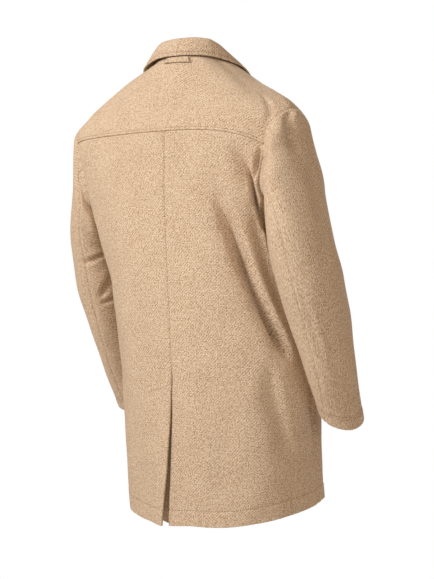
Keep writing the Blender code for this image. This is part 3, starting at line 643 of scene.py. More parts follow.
def add_cloth(name, base, normal, lift, edges, holes=(), kept=None, grain=0,
              pit_reach=BODY_PIT_REACH, roll=0.0):
    """One panel: base grid + normal (lift + edge forms), and its inner face one thickness in.

    Near an armhole the creases fade out and the normal turns to the joint's direction, so that the
    body's and the sleeve's edges meet. grain is the column from which the weave is measured across.
    A panel with a hem also takes the weave's length from that column, so that its rows stay level.
    """
    distances = edge_distances(base)
    outer_out = np.array(lift, float)
    inner_out = outer_out - CLOTH
    way = normal
    for side in holes:
        distance, joint, turn = from_hole(side, base)
        calm = ease(0.0, CALM_REACH, distance)
        dent = pit_dent(side, distance, turn, pit_reach)
        form, _ = edge_form("armhole", distance)
        outer_out, inner_out = outer_out * calm - dent + form, (inner_out + CLOTH) * calm - CLOTH - dent
        share = np.exp(-(distance / JOINT_REACH) ** 2)[..., None]
        way = unit(way * (1 - share) + joint * share)
    if edges["high"][0] == "neck":
        calm = ease(0.0, CALM_REACH, distances["high"])
        outer_out, inner_out = outer_out * calm, (inner_out + CLOTH) * calm - CLOTH
    for edge, (kind, mask) in edges.items():
        form, rounding = edge_form(kind, np.where(mask, distances[edge], NEAR_HOLE))
        outer_out = outer_out + form
        inner_out = inner_out + rounding
    outer = base + way * outer_out[..., None] + roll
    inner = base + way * inner_out[..., None] + roll
    for edge in edges:
        draw_back(outer, edge)
        draw_back(inner, edge)
    across = run_along(base, 1)
    across = across - across[:, [grain]]
    up = run_along(base, 0)
    if edges.get("low", ("",))[0] == "hem":
        up = np.broadcast_to(up[:, [grain]], across.shape)
    turn = np.cross(np.gradient(base, axis=1), np.gradient(base, axis=0))
    if np.sum(turn * normal) < 0:
        across = -across
    piece = add_wall(name, outer, inner, np.stack([across, up], axis=-1), kept)
    corner = base[:-1, :-1]
    cells = np.linalg.norm(np.cross(base[1:, :-1] - corner, base[:-1, 1:] - corner), axis=-1)
    cut = cells.sum() if kept is None else cells[kept].sum()
    flat = (np.ptp(across, axis=1).max(), up.max())
    SHEETS[name] = (piece, flat, float(cut))
    faces = len(piece.data.polygons)
    print(f"{name}: {faces} faces, cut {flat[0]:.3f} x {flat[1]:.3f} m, {cut:.3f} m2")
    return outer, way


# %% [markdown]
# ## Stitches
# A row of topstitches is many short lengths of thread, each lying on the cloth and diving into it
# at both ends. One stitch is a small bent bead; copies of it are laid along a line that keeps a
# fixed distance from an edge. All of them become one mesh, worked out as one array.

# %% Rows of stitches
STITCH_PITCH = 0.0036
STITCH_LENGTH = 0.0027
STITCH_RADIUS = 0.00042
BEAD_PLACES = np.array((-1.0, -0.72, 0.0, 0.72, 1.0))
BEAD_SIZES = np.array((0.45, 0.90, 1.0, 0.90, 0.45))
BEAD_RISES = np.array((-0.8, 0.0, 0.45, 0.0, -0.8))
BEAD_SIDES = 6
stitch_runs = []


def line_at(grid, way, distance, wanted):
    """Points and normals where the distance from the low edge, along each column, has a value."""
    row = np.clip(np.sum(distance < wanted, axis=0), 1, len(distance) - 1)
    column = np.arange(grid.shape[1])
    before, after = distance[row - 1, column], distance[row, column]
    share = np.clip((wanted - before) / np.maximum(after - before, 1e-9), 0.0, 1.0)[:, None]
    points = grid[row - 1, column] * (1 - share) + grid[row, column] * share
    normals = way[row - 1, column] * (1 - share) + way[row, column] * share
    return points, normals


def read_along(run, vectors, places):
    """Vectors between their neighbours at places along a run."""
    return np.stack([np.interp(places, run, vectors[:, k]) for k in range(3)], axis=-1)


def sew(points, normals, pitch=STITCH_PITCH):
    """Keep one row of stitches: evenly spaced places, directions and normals along a line."""
    run = run_along(points, 0)
    places = np.arange(pitch / 2, run[-1], pitch)
    ahead = read_along(run, points, places + pitch / 4)
    back = read_along(run, points, places - pitch / 4)
    up = read_along(run, normals, places)
    stitch_runs.append((read_along(run, points, places), unit(ahead - back), unit(up)))


def sew_edge(kind, grid, way, distance):
    """Sew every row of stitches that a kind of edge has, along a grid's low edge."""
    for row in EDGE_KINDS[kind]["stitches"]:
        sew(*line_at(grid, way, distance, row))


def bead_mesh(name, at, along, up):
    """Beads of thread: rings of a bent spindle, one spindle for each stitch, in one mesh."""
    turn = 2 * np.pi * np.arange(BEAD_SIDES) / BEAD_SIDES
    side = np.cross(along, up)
    ring_at = BEAD_PLACES * STITCH_LENGTH / 2
    centre = at[:, None] + ring_at[None, :, None] * along[:, None]
    centre = centre + (BEAD_RISES * STITCH_RADIUS)[None, :, None] * up[:, None]
    spoke = np.cos(turn)[None, :, None] * up[:, None] + np.sin(turn)[None, :, None] * side[:, None]
    rings = (BEAD_SIZES * STITCH_RADIUS)[None, :, None, None] * spoke[:, None]
    points = (centre[:, :, None] + rings).reshape(-1, 3)
    ring, corner = np.meshgrid(np.arange(len(ring_at) - 1), np.arange(BEAD_SIDES), indexing="ij")
    a = (ring * BEAD_SIDES + corner).ravel()
    b = (ring * BEAD_SIDES + (corner + 1) % BEAD_SIDES).ravel()
    quads = np.stack([a, a + BEAD_SIDES, b + BEAD_SIDES, b], axis=1)
    last = (len(ring_at) - 1) * BEAD_SIDES
    caps = np.array([np.arange(BEAD_SIDES), last + np.arange(BEAD_SIDES)[::-1]])
    first = (np.arange(len(at)) * len(ring_at) * BEAD_SIDES)[:, None, None]
    sides = (quads[None] + first).reshape(-1, 4).tolist()
    ends = (caps[None] + first).reshape(-1, BEAD_SIDES).tolist()
    return add_mesh(name, points, sides + ends)


# %% [markdown]
# ## The back
# Two panels meet in a seam down the middle. Below the vent's top the seam is open: the left panel
# laps over an extra strip of the right one and its edge stands off more and more towards the hem.
# The right panel has smaller cells, because the sharp folds beside the armpit lie on it.

# %% Lines of the back
VENT_UNDERLAP = 0.038
VENT_SLANT = 0.012
VENT_LIFT = 0.010
VENT_SPREAD = 0.060
VENT_DRIFT = 0.007
LAP_GAP = 0.0010
SINK_START = 14.0
SINK_ABOVE = 0.046
SHADE_TURNS = np.radians((0.5, 1.7))
SHADE_SINK = 0.014
SHADE_FULL = 0.2
SIDE_FORWARD = 13.0
SIDE_FORWARD_BY = -0.45
LEVEL_SPREAD = {1: 4.0, -1: 2.5}


def vent_share(height):
    """How far down the vent a height lies, 0 at its top and 1 at the hem."""
    return np.clip((VENT_TOP - height) / (VENT_TOP - HEM), 0.0, 1.0)


def vent_edge(height):
    """Angle of the left panel's free edge, which drifts to the left below the vent's top."""
    return VENT_DRIFT * vent_share(height) ** 2 / body_width(height)


def side_seam(side, height):
    """Angle of the side seam below the armhole; it runs forward towards the hip."""
    forward = np.radians(SIDE_FORWARD) * ease(UNDERARM, SIDE_FORWARD_BY, height)
    return side * (QUARTER + forward)


def left_back_lift(angle, height):
    """The left panel stands off along its free edge, as a bell that grows towards the hem."""
    from_edge = body_width(height) * (angle - vent_edge(height)) / VENT_SPREAD
    return VENT_LIFT * vent_share(height) * np.exp(-from_edge ** 2)


def right_back_lift(angle, height):
    """The right panel sinks by one thickness and a gap where the left one lies over it, and more
    beside the left one's edge, where the open vent shades it."""
    sink = ease(-np.radians(SINK_START), 0.0, angle) * ease(VENT_TOP + SINK_ABOVE, VENT_TOP, height)
    shaded = ease(*SHADE_TURNS, angle) * ease(0.0, SHADE_FULL, vent_share(height))
    return -(CLOTH + LAP_GAP) * sink - SHADE_SINK * shaded


# %% Back panels
BACK_CELLS = {1: CELL, -1: 0.0027}
HOLE_RISE = 0.20
HALF_BACK = 0.31


def add_back(side):
    """One back panel, from the middle seam to the side seam and the armhole, up to the yoke."""
    cell = BACK_CELLS[side]
    skirt = HEM + (UNDERARM - HEM) * spaced(UNDERARM - HEM, fine_end=False, cell=cell)
    climb = spaced(HOLE_RISE, fine_start=False, cell=cell)[1:]
    hole_angle, hole_height = hole_place(side, np.pi + (YOKE_END[side] - np.pi) * climb)
    side_angle = np.concatenate([side_seam(side, skirt), hole_angle])
    side_height = np.concatenate([skirt, hole_height])
    mid_height = np.concatenate([skirt, UNDERARM + (YOKE_AT_BACK - UNDERARM) * climb])
    mid_angle = vent_edge(mid_height) if side > 0 else np.zeros(len(mid_height))
    shares = spaced(HALF_BACK, cell=cell)
    angle = between(mid_angle, side_angle, shares)
    height = between(mid_height, side_height, shares ** LEVEL_SPREAD[side])
    below_hole = np.arange(len(side_height)) < len(skirt)
    closed = mid_height > VENT_TOP
    kept, laps = None, 0
    if side < 0:
        lap = 1 - spaced(VENT_UNDERLAP, fine_end=False)[:-1]
        laps = len(lap)
        slant = VENT_SLANT * ease(HEM, VENT_TOP, mid_height)
        angle = np.hstack([np.outer(VENT_UNDERLAP / body_width(mid_height), lap), angle])
        height = np.hstack([mid_height[:, None] - np.outer(slant, lap), height])
        kept = np.ones((len(mid_height) - 1, len(angle[0]) - 1), bool)
        kept[closed[1:], :laps] = False
    own_lift = left_back_lift if side > 0 else right_back_lift
    base = body_point(angle, height)
    normal = outward(body_point, angle, height)
    lift = body_creases(angle, height) + own_lift(angle, height)
    if side < 0:
        to_seam = np.abs(run_along(base, 1) - run_along(base, 1)[:, laps:laps + 1])
        lift = lift + edge_form("seam", np.where(closed[:, None], to_seam, NEAR_HOLE))[0]
    else:
        seam_form, _ = edge_form("seam", run_along(base, 1))
        free_form, _ = edge_form("free", run_along(base, 1))
        lift = lift + np.where(closed[:, None], seam_form, free_form)
    edges = {"low": ("hem", True), "end": ("seam", below_hole[:, None]),
             "high": ("lapped_under", True)}
    name = {1: "back_left", -1: "back_right"}[side]
    outer, way = add_cloth(name, base, normal, lift, edges, (side,), kept, laps)
    sew_edge("hem", outer[:, laps:], way[:, laps:], run_along(base, 0)[:, laps:])
    return outer, way, base


back_left = add_back(1)
add_back(-1)

# %% [markdown]
# ## The yoke
# One piece runs over both shoulder blades. Its lower edge is turned under and lies on the back
# panels with a row of stitches beside it, which makes the fine ridge across the back.

# %% Yoke
YOKE_RISE = 0.10
CROWN_RISE = 0.19
HALF_YOKE = 0.24


def add_yoke():
    """From the back panels up to the shoulder seams and the neck, both halves as one grid."""
    down = 1 - spaced(YOKE_RISE, fine_end=False)
    crown = SHOULDER_TIP + (NECK - SHOULDER_TIP) * spaced(CROWN_RISE, fine_start=False)[1:]
    shares = spaced(HALF_YOKE, fine_start=False)
    ends = {}
    for side in (1, -1):
        hole_angle, hole_height = hole_place(side, YOKE_END[side] * down)
        ends[side] = (np.concatenate([hole_angle, np.full(len(crown), side * QUARTER)]),
                      np.concatenate([hole_height, crown]))
    rises = [(height - height[0]) / (NECK - height[0]) for _, height in ends.values()]
    mid_height = YOKE_AT_BACK + (NECK - YOKE_AT_BACK) * np.mean(rises, axis=0)
    middle = np.zeros(len(mid_height))
    angles = {side: between(middle, end[0], shares) for side, end in ends.items()}
    heights = {side: between(mid_height, end[1], shares ** LEVEL_SPREAD[side])
               for side, end in ends.items()}
    angle = np.hstack([angles[1][:, ::-1], angles[-1][:, 1:]])
    height = np.hstack([heights[1][:, ::-1], heights[-1][:, 1:]])
    base = body_point(angle, height)
    normal = outward(body_point, angle, height)
    lift = body_creases(angle, height)
    on_shoulder = (np.arange(len(angle)) >= len(down))[:, None]
    edges = {"low": ("lapped_over", True), "high": ("neck", True),
             "start": ("seam", on_shoulder), "end": ("seam", on_shoulder)}
    outer, way = add_cloth("back_yoke", base, normal, lift, edges, (1, -1), grain=len(shares) - 1)
    sew_edge("lapped_over", outer, way, run_along(base, 0))


add_yoke()

# %% [markdown]
# ## The fronts
# The fronts close left over right. They hang from the shoulder seams and the neck, and the side
# seams join them to the back.

# %% Fronts
FRONT_OVERLAP = 0.022
FRONT_BLEND = 14.0
FRONT_HOLE_RISE = 0.25
HALF_FRONT = 0.30
FRONT_CELL = 0.0045
FRONT_ACROSS_CELL = 0.0048


def lap_angle(height):
    """Angle that the front overlap takes past the middle front."""
    return FRONT_OVERLAP / body_width(height)


def right_front_lift(angle, height):
    """The right front sinks under the left one along the closing."""
    past = -np.pi + 2 * lap_angle(height)
    return -(CLOTH + LAP_GAP) * ease(past + np.radians(FRONT_BLEND), past, angle)


def add_front(side):
    """One front, from its free edge to the side seam, the armhole and the shoulder seam."""
    skirt = HEM + (UNDERARM - HEM) * spaced(UNDERARM - HEM, fine_end=False)
    climb = spaced(FRONT_HOLE_RISE, fine_start=False, fine_end=False, cell=FRONT_CELL)[1:]
    hole_angle, hole_height = hole_place(side, np.pi + np.pi * climb)
    rise = spaced(CROWN_RISE, fine_start=False, cell=FRONT_CELL)[1:]
    height = np.concatenate([skirt, hole_height, SHOULDER_TIP + (NECK - SHOULDER_TIP) * rise])
    side_angle = np.concatenate([side_seam(side, skirt), hole_angle, np.full(len(rise), side * QUARTER)])
    shares = spaced(HALF_FRONT, cell=FRONT_ACROSS_CELL)
    angle = between(side * (np.pi + lap_angle(height)), side_angle, shares)
    height = np.repeat(height[:, None], angle.shape[1], axis=1)
    base = body_point(angle, height)
    normal = outward(body_point, angle, height)
    lift = body_creases(angle, height)
    if side < 0:
        lift = lift + right_front_lift(angle, height)
    row = np.arange(len(height))
    sewn = ((row < len(skirt)) | (row >= len(skirt) + len(climb)))[:, None]
    edges = {"low": ("hem", True), "start": ("front", True), "end": ("seam", sewn),
             "high": ("neck", True)}
    name = {1: "front_left", -1: "front_right"}[side]
    outer, way = add_cloth(name, base, normal, lift, edges, (side,))
    sew_edge("hem", outer, way, run_along(base, 0))
    sew_edge("front", *[grid.swapaxes(0, 1) for grid in (outer, way, run_along(base, 1))])


add_front(1)
add_front(-1)

# %% [markdown]
# ## The sleeves
# Each sleeve has a top piece over the outside of the arm and an under piece along the body. Two
# rows of stitches hold the turned-up cuff.

# %% Sleeve pieces
SEAM_TURNS = {"top": (-QUARTER, QUARTER), "under": (QUARTER, 3 * QUARTER)}
HALF_SLEEVE = 0.21
SLEEVE_CELL = 0.0034


def add_sleeve(side, part):
    """One sleeve piece between its front and its back seam, from the armhole to the cuff."""
    length = SLEEVE_LENGTHS[side]
    station = np.interp(spaced(length[-1]) * length[-1], length, STATIONS)
    first, last = SEAM_TURNS[part]
    turn = first + (last - first) * spaced(HALF_SLEEVE, cell=SLEEVE_CELL)
    phi, along = np.meshgrid(turn, station)
    surface = SLEEVES[side]
    base = surface(phi, along)
    normal = outward(surface, phi, along, side)
    lift = sleeve_creases(side, phi, along)
    edges = {"high": ("cuff", True), "start": ("seam", True), "end": ("seam", True)}
    name = "sleeve_" + {1: "left", -1: "right"}[side] + "_" + part
    outer, way = add_cloth(name, base, normal, lift, edges, (side,), grain=len(turn) // 2,
                           pit_reach=SLEEVE_PIT_REACH, roll=pit_roll(side, base))
    draw_back(outer, "low")
    sew_edge("cuff", outer[::-1], way[::-1], edge_distances(base)["high"][::-1])


for sleeve_side in (1, -1):
    for sleeve_part in SEAM_TURNS:
        add_sleeve(sleeve_side, sleeve_part)

# %% [markdown]
# ## The collar
# A stand goes up from the neck seam, and the fall rolls over its top and comes down to the
# shoulders. The fall is a cubic curve from the stand's top over the roll to its edge, carried round
# the neck. A short tab lies on the yoke under it.

# %% Collar lines
COLLAR_END = 162.0
COLLAR_COLUMNS = ("angle", "stand", "roll_up", "drop", "clear", "roll_out")
COLLAR = np.array([
    (-COLLAR_END, 0.016, 0.010, 0.040, 0.0022, 0.008),
    (-130.0, 0.008, 0.006, 0.026, 0.0022, 0.007),
    (-100.0, 0.006, 0.005, 0.0150, 0.0020, 0.006),
    (-80.0, 0.014, 0.006, 0.0090, 0.0018, 0.007),
    (-60.0, 0.0260, 0.009, 0.0045, 0.0020, 0.008),
    (-45.0, 0.0315, 0.010, 0.0028, 0.0022, 0.009),
    (-25.0, 0.0315, 0.010, 0.0028, 0.0026, 0.008),
    (0.0, 0.0280, 0.010, 0.0036, 0.0034, 0.008),
    (30.0, 0.0270, 0.010, 0.0075, 0.0050, 0.009),
    (60.0, 0.0240, 0.010, 0.0175, 0.0060, 0.008),
    (80.0, 0.0165, 0.009, 0.0225, 0.0055, 0.008),
    (100.0, 0.011, 0.008, 0.0270, 0.0050, 0.008),
    (130.0, 0.010, 0.008, 0.035, 0.0030, 0.008),
    (COLLAR_END, 0.016, 0.010, 0.040, 0.0022, 0.008),
])
STAND_LEAN = 0.004
STAND_ALLOWANCE = 0.002
ROLL_GAP = 0.0008
LEAF_FULLNESS = 0.45
UP = np.array((0.0, 0.0, 1.0))
NECK_ROUND = 0.55
COLLAR_CELL = 0.0030


def collar_at(angle):
    """The collar's sizes at an angle from the middle back."""
    return named(COLLAR_COLUMNS, curve(COLLAR[:, 0], COLLAR, np.degrees(angle)))


def neck_ring(angle):
    """Neck seam, the level direction out of the neck there, and the one that rises square to it."""
    level = np.full(angle.shape, NECK)
    ring = body_point(angle, level)
    along = unit(body_point(angle + NUDGE, level) - body_point(angle - NUDGE, level))
    out = unit(np.cross(np.broadcast_to(UP, along.shape), along))
    return ring, out, unit(UP - along * along[:, 2:3])


def stand_top(angle):
    """Neck seam + stand x rising - lean x out."""
    ring, out, rising = neck_ring(angle)
    return ring + collar_at(angle)["stand"][:, None] * rising - STAND_LEAN * out


NECK_TURNS = np.radians(COLLAR_END) * (2 * spaced(NECK_ROUND, cell=COLLAR_CELL) - 1)
print("collar:", len(NECK_TURNS), "points round the neck")

# %% Stand
STAND_LENGTH = 0.030
ALL_FREE = {edge: ("free", True) for edge in ("low", "start", "end", "high")}


def add_stand():
    """Straight band from inside the neck seam to the stand's top."""
    ring, out, rising = neck_ring(NECK_TURNS)
    foot = ring - (CLOTH + SEAM_GAP) * out - STAND_ALLOWANCE * rising
    share = spaced(STAND_LENGTH, cell=COLLAR_CELL)[:, None, None]
    base = foot * (1 - share) + stand_top(NECK_TURNS) * share
    normal = np.broadcast_to(out, base.shape)
    lift = np.zeros(base.shape[:2])
    add_cloth("collar_stand", base, normal, lift, ALL_FREE, grain=len(NECK_TURNS) // 2)


add_stand()

# %% Fall
FALL_LENGTH = 0.085
FALL_CELL = 0.0026
FALL_WAVES = 0.6
WAVES_ROUND = 0.1
WAVES_DOWN = 0.08


def add_fall():
    """Cubic curve with four places: start on the stand, roll, leaf above its edge, and edge."""
    angle = NECK_TURNS
    _, out, rising = neck_ring(angle)
    top = stand_top(angle)
    size = collar_at(angle)
    level = NECK - size["drop"]
    edge = outward(body_point, angle, level) * (size["clear"] + CLOTH)[:, None] + body_point(angle, level)
    start = top - out * CLOTH + rising * (CLOTH + ROLL_GAP)
    roll_out = out * size["roll_out"][:, None]
    roll = top + roll_out + rising * size["roll_up"][:, None]
    above = edge + (top - edge) * LEAF_FULLNESS + roll_out
    t = spaced(FALL_LENGTH, cell=FALL_CELL)[::-1, None, None]
    rest = 1 - t
    base = rest ** 3 * start + 3 * t * rest ** 2 * roll + 3 * t * t * rest * above + t ** 3 * edge
    along_leaf = rest ** 2 * (roll - start) + 2 * t * rest * (above - roll) + t * t * (edge - above)
    normal = unit(np.cross(np.gradient(base, axis=1), along_leaf))
    lift = FALL_WAVES * slow_waves(*np.broadcast_arrays(angle * WAVES_ROUND, t[..., 0] * WAVES_DOWN))
    edges = ALL_FREE | {edge: ("leaf", True) for edge in ("low", "start", "end")}
    outer, way = add_cloth("collar_fall", base, normal, lift, edges, grain=len(angle) // 2)
    sew_edge("leaf", outer, way, run_along(base, 0))
    for end, order in (("start", 1), ("end", -1)):
        grids = (outer, way, edge_distances(base)[end])
        sew_edge("leaf", *[grid[:, ::order].swapaxes(0, 1) for grid in grids])


add_fall()

# %% Tab
TAB_GAP = 0.0006
TAB_ANGLE = 16.5
TAB_TOP = 0.0085
TAB_BOTTOM = -0.0060
TAB_OPENING = 0.0016
TAB_CELL = 0.002
TAB_LENGTH = 0.024
TAB_WIDTH = 0.042


def add_tab():
    """Short strip on the yoke whose lower edge stands off a little."""
    share = spaced(TAB_LENGTH, cell=TAB_CELL)
    angle = np.radians(TAB_ANGLE) * (1 - 2 * spaced(TAB_WIDTH, cell=TAB_CELL))
    angle, height = np.meshgrid(angle, TAB_BOTTOM + (TAB_TOP - TAB_BOTTOM) * share)
    base = body_point(angle, height)
    normal = outward(body_point, angle, height)
    base = base + normal * (TAB_GAP + CLOTH)
    lift = np.repeat(TAB_OPENING * (1 - share[:, None]) ** 2, angle.shape[1], axis=1)
    add_cloth("collar_tab", base, normal, lift, ALL_FREE, grain=angle.shape[1] // 2)


add_tab()

# %% [markdown]
# ## Seam stitches down the back
# The middle seam shows as a fine dotted line: the cloth dips into it, and the thread comes up at
# every stitch. Above the vent a short slanting row holds the strip that lies inside.

# %% Middle seam and vent stitches
SEAM_PITCH = 0.0045
VENT_ROW = np.array(((16.5, -0.609), (1.0, -0.5935)))
VENT_ROW_POINTS = 40


def sew_middle_seam():
    """Small stitches along the left panel's edge, from the vent's top to the yoke."""
    outer, way, base = back_left
    closed = base[:, 0, 2] > body_point(0.0, VENT_TOP)[2]
    sew(outer[closed, 1], way[closed, 1], pitch=SEAM_PITCH)


def sew_vent_top():
    """Straight row on the flat cloth from one place to another, taken from the panel's own grid."""
    outer, way, base = back_left
    angle, height = np.linspace(*VENT_ROW, VENT_ROW_POINTS).T
    place = body_point(np.radians(angle), height)
    away = np.linalg.norm(base.reshape(-1, 1, 3) - place, axis=-1)
    nearest = np.argmin(away, axis=0)
    normals = way.reshape(-1, 3)[nearest]
    gap = outer.reshape(-1, 3)[nearest] - place
    sew(place + normals * np.sum(gap * normals, axis=-1, keepdims=True), normals)


sew_middle_seam()
sew_vent_top()
thread = bead_mesh("topstitching", *[np.concatenate(rows) for rows in zip(*stitch_runs)])
print(sum(len(run[0]) for run in stitch_runs), "stitches,", len(thread.data.polygons), "faces")

# %% [markdown]
# ## The buttons
# Four horn buttons close the front. A button is a profile turned round its middle: a rounded edge,
# a rim and a dish. Four holes are pressed into the dish where the thread goes through.

# %% Buttons
BUTTON_RADIUS = 0.0125
BUTTON_THICK = 0.0042
BUTTON_SEAT = 0.0006
BUTTON_FIRST = -0.190
BUTTON_STEP = -0.145
BUTTON_COUNT = 4
BUTTON_SIDES = 72
RIM_ROWS = 9
HOLE_RING = 0.0031
HOLE_SIZE = 0.0011
HOLE_DEPTH = 0.0022
BUTTON_PROFILE = np.array([
    (0.0, 0.0), (0.6, 0.0), (0.90, 0.04), (0.98, 0.25), (1.0, 0.5), (0.98, 0.78), (0.93, 0.95),
    (0.86, 1.0), (0.78, 0.97), (0.72, 0.84), (0.66, 0.74), (0.55, 0.70), (0.48, 0.69), (0.42, 0.69),
    (0.36, 0.69), (0.32, 0.69), (0.28, 0.69), (0.25, 0.69), (0.22, 0.69), (0.18, 0.69), (0.14, 0.69),
    (0.09, 0.69), (0.0, 0.69),
])


def button_points(height):
    """Profile (radius, level) turned round; each hole sinks as e^(-(d/size)^4) of its distance d."""
    seat = body_point(np.pi, height)
    normal = outward(body_point, np.array(np.pi), np.array(height))
    across = unit(np.cross(UP, normal))
    rising = np.cross(normal, across)
    turn = 2 * np.pi * np.arange(BUTTON_SIDES) / BUTTON_SIDES
    radius = BUTTON_PROFILE[:, :1] * BUTTON_RADIUS
    x, y = radius * np.cos(turn), radius * np.sin(turn)
    level = np.repeat(BUTTON_PROFILE[:, 1:] * BUTTON_THICK, BUTTON_SIDES, axis=1)
    top = np.arange(len(BUTTON_PROFILE))[:, None] >= RIM_ROWS
    for corner in QUARTER * (np.arange(4) + 0.5):
        away = np.hypot(x - HOLE_RING * np.cos(corner), y - HOLE_RING * np.sin(corner))
        level = level - top * HOLE_DEPTH * np.exp(-(away / HOLE_SIZE) ** 4)
    points = (seat + normal * BUTTON_SEAT + x[..., None] * across + y[..., None] * rising
              + level[..., None] * normal)
    return points, (seat, normal, across, rising)


def add_button(number):
    """One button: the turned grid closed round, with its two poles merged."""
    points, axes = button_points(BUTTON_FIRST + BUTTON_STEP * number)
    rows, sides = points.shape[:2]
    r, c = np.meshgrid(np.arange(rows - 1), np.arange(sides), indexing="ij")
    a, b = (r * sides + c).ravel(), (r * sides + (c + 1) % sides).ravel()
    corners = np.stack([a, b, b + sides, a + sides], axis=1)
    flat = np.where(corners < sides, 0, corners)
    flat = np.where(flat >= (rows - 1) * sides, (rows - 1) * sides, flat)
    used, packed = np.unique(flat, return_inverse=True)
    faces = [list(dict.fromkeys(face)) for face in packed.reshape(-1, 4).tolist()]
    return add_mesh("horn_button_" + str(number + 1), points.reshape(-1, 3)[used], faces), axes


buttons = [add_button(number) for number in range(BUTTON_COUNT)]
print(len(buttons), "buttons of", len(buttons[0][0].data.polygons), "faces")

# %% Thread and buttonholes
CROSS_HEIGHT = 0.0031
STRAND_GAP = 0.0012
BAR_PLACE = 0.72 * HOLE_RING
HOLE_STITCHES = 26
BUTTONHOLE_LENGTH = 0.013
BUTTONHOLE_WIDTH = 0.0022


def button_threads(axes):
    """Two parallel bars of thread through the holes, two strands each."""
    seat, normal, across, rising = axes
    middle = seat + normal * CROSS_HEIGHT
    spots = [(x, y) for x in (-STRAND_GAP / 2, STRAND_GAP / 2) for y in (-BAR_PLACE, BAR_PLACE)]
    at = np.array([middle + across * x + rising * y for x, y in spots])
    return at, np.repeat(across[None], 4, axis=0), np.repeat(normal[None], 4, axis=0)


def buttonhole(axes):
    """Close stitches on both sides of the slit that runs from the button to the side."""
    seat, normal, across, rising = axes
    place = BUTTON_RADIUS + BUTTONHOLE_LENGTH * np.linspace(0.0, 1.0, HOLE_STITCHES)
    rows = [seat - across * place[:, None] + rising * side * BUTTONHOLE_WIDTH / 2 for side in (-1, 1)]
    at = np.concatenate(rows) + normal * STITCH_RADIUS
    return at, np.repeat(rising[None], len(at), axis=0), np.repeat(normal[None], len(at), axis=0)


rows = [button_threads(axes) for _, axes in buttons] + [buttonhole(axes) for _, axes in buttons]
button_thread = bead_mesh("button_thread", *[np.concatenate(part) for part in zip(*rows)])
print(sum(len(row[0]) for row in rows), "stitches at the buttons")

# %% [markdown]
# ## The wool
# The cloth is a soft twill of undyed wool: fine ribs that rise to the right, in cream, beige and
# brown fibres mixed before spinning. One value carries all of it. Ribs, specks and slow mottling
# are added up and read as a colour from a ramp, and the same ribs and specks raise the surface.

# %% Nodes
def add_node(tree, kind, settings=(), values=(), links=()):
    """A node with its settings, its sockets' values and its incoming links."""
    node = tree.nodes.new(kind)
    for key, value in dict(settings).items():
        setattr(node, key, value)
    for key, value in dict(values).items():
        node.inputs[key].default_value = value
    for key, source in dict(links).items():
        tree.links.new(source, node.inputs[key])
    return node


def add_up(tree, terms, middle=0.5):
    """Middle + the sum of strength (value - 0.5) over the terms."""
    total = middle - sum(strength for _, strength in terms) / 2
    socket = None
    for value, strength in terms:
        values = {1: strength, 2: total} if socket is None else {1: strength}
        links = {0: value} if socket is None else {0: value, 2: socket}
        socket = add_node(tree, "ShaderNodeMath", {"operation": "MULTIPLY_ADD"}, values, links).outputs[0]
    return socket


def add_noise(tree, place, values, settings=()):
    """Noise read at a place, about 0.5 on average."""
    return add_node(tree, "ShaderNodeTexNoise", settings, values, {"Vector": place}).outputs["Fac"]


def paint(tree, value, stops, target):
    """Read a value as a colour from a ramp with stops, for a target socket."""
    node = add_node(tree, "ShaderNodeValToRGB", links={"Fac": value})
    ramp = node.color_ramp
    while len(ramp.elements) < len(stops):
        ramp.elements.new(1.0)
    for element, (position, colour) in zip(ramp.elements, stops):
        element.position = position
        element.color = (*colour, 1.0)
    tree.links.new(node.outputs["Color"], target)


def new_material(name, space, values):
    """A material, its nodes, its shader with values set, and one space's texture coordinates."""
    material = bpy.data.materials.new(name)
    material.use_nodes = True
    tree = material.node_tree
    shader = tree.nodes["Principled BSDF"].inputs
    for key, value in values.items():
        shader[key].default_value = value
    return material, tree, shader, add_node(tree, "ShaderNodeTexCoord").outputs[space]


# %% Wool
FLAT = {"noise_dimensions": "2D"}
WOOL_SURFACE = {"Roughness": 0.93, "Specular IOR Level": 0.18, "Sheen Weight": 0.22,
                "Sheen Roughness": 0.55, "Sheen Tint": (1.0, 0.92, 0.82, 1.0)}
WOOL_STOPS = (
    (0.10, (0.200, 0.105, 0.055)),
    (0.34, (0.445, 0.305, 0.196)),
    (0.54, (0.625, 0.482, 0.342)),
    (0.88, (0.830, 0.715, 0.560)),
)


def make_wool():
    """Twill ribs on the panel's own grain, with specks of fibre and slow mottling."""
    material, tree, shader, grain = new_material("oatmeal_twill_wool", "UV", WOOL_SURFACE)
    slanted = add_node(tree, "ShaderNodeMapping", values={"Scale": (1.0, -1.0, 1.0)},
                       links={"Vector": grain}).outputs[0]
    ribs = add_node(tree, "ShaderNodeTexWave", {"wave_type": "BANDS", "bands_direction": "DIAGONAL"},
                    {"Scale": 104.0, "Distortion": 0.8, "Detail": 0.0, "Detail Scale": 1.8},
                    {"Vector": slanted}).outputs["Fac"]
    specks = add_noise(tree, grain, {"Scale": 430.0, "Detail": 0.0, "Roughness": 0.75}, FLAT)
    blots = add_noise(tree, grain, {"Scale": 130.0, "Detail": 2.0, "Roughness": 0.6}, FLAT)
    mottle = add_noise(tree, grain, {"Scale": 24.0, "Detail": 2.0}, FLAT)
    mix = add_up(tree, ((ribs, 0.15), (specks, 0.70), (blots, 0.30), (mottle, 0.10)))
    paint(tree, mix, WOOL_STOPS, shader["Base Color"])
    relief = add_up(tree, ((ribs, 0.8), (specks, 0.9)))
    bump = add_node(tree, "ShaderNodeBump", values={"Strength": 0.12, "Distance": 0.0006},
                    links={"Height": relief})
    tree.links.new(bump.outputs["Normal"], shader["Normal"])
    return material


wool = make_wool()
print("wool:", len(wool.node_tree.nodes), "nodes")

# %% [markdown]
# ## Thread and horn
# The thread is a shade darker than the cloth, so a row of stitches reads as a fine dotted line.
# Horn is dark brown with lighter streaks and a soft polish.

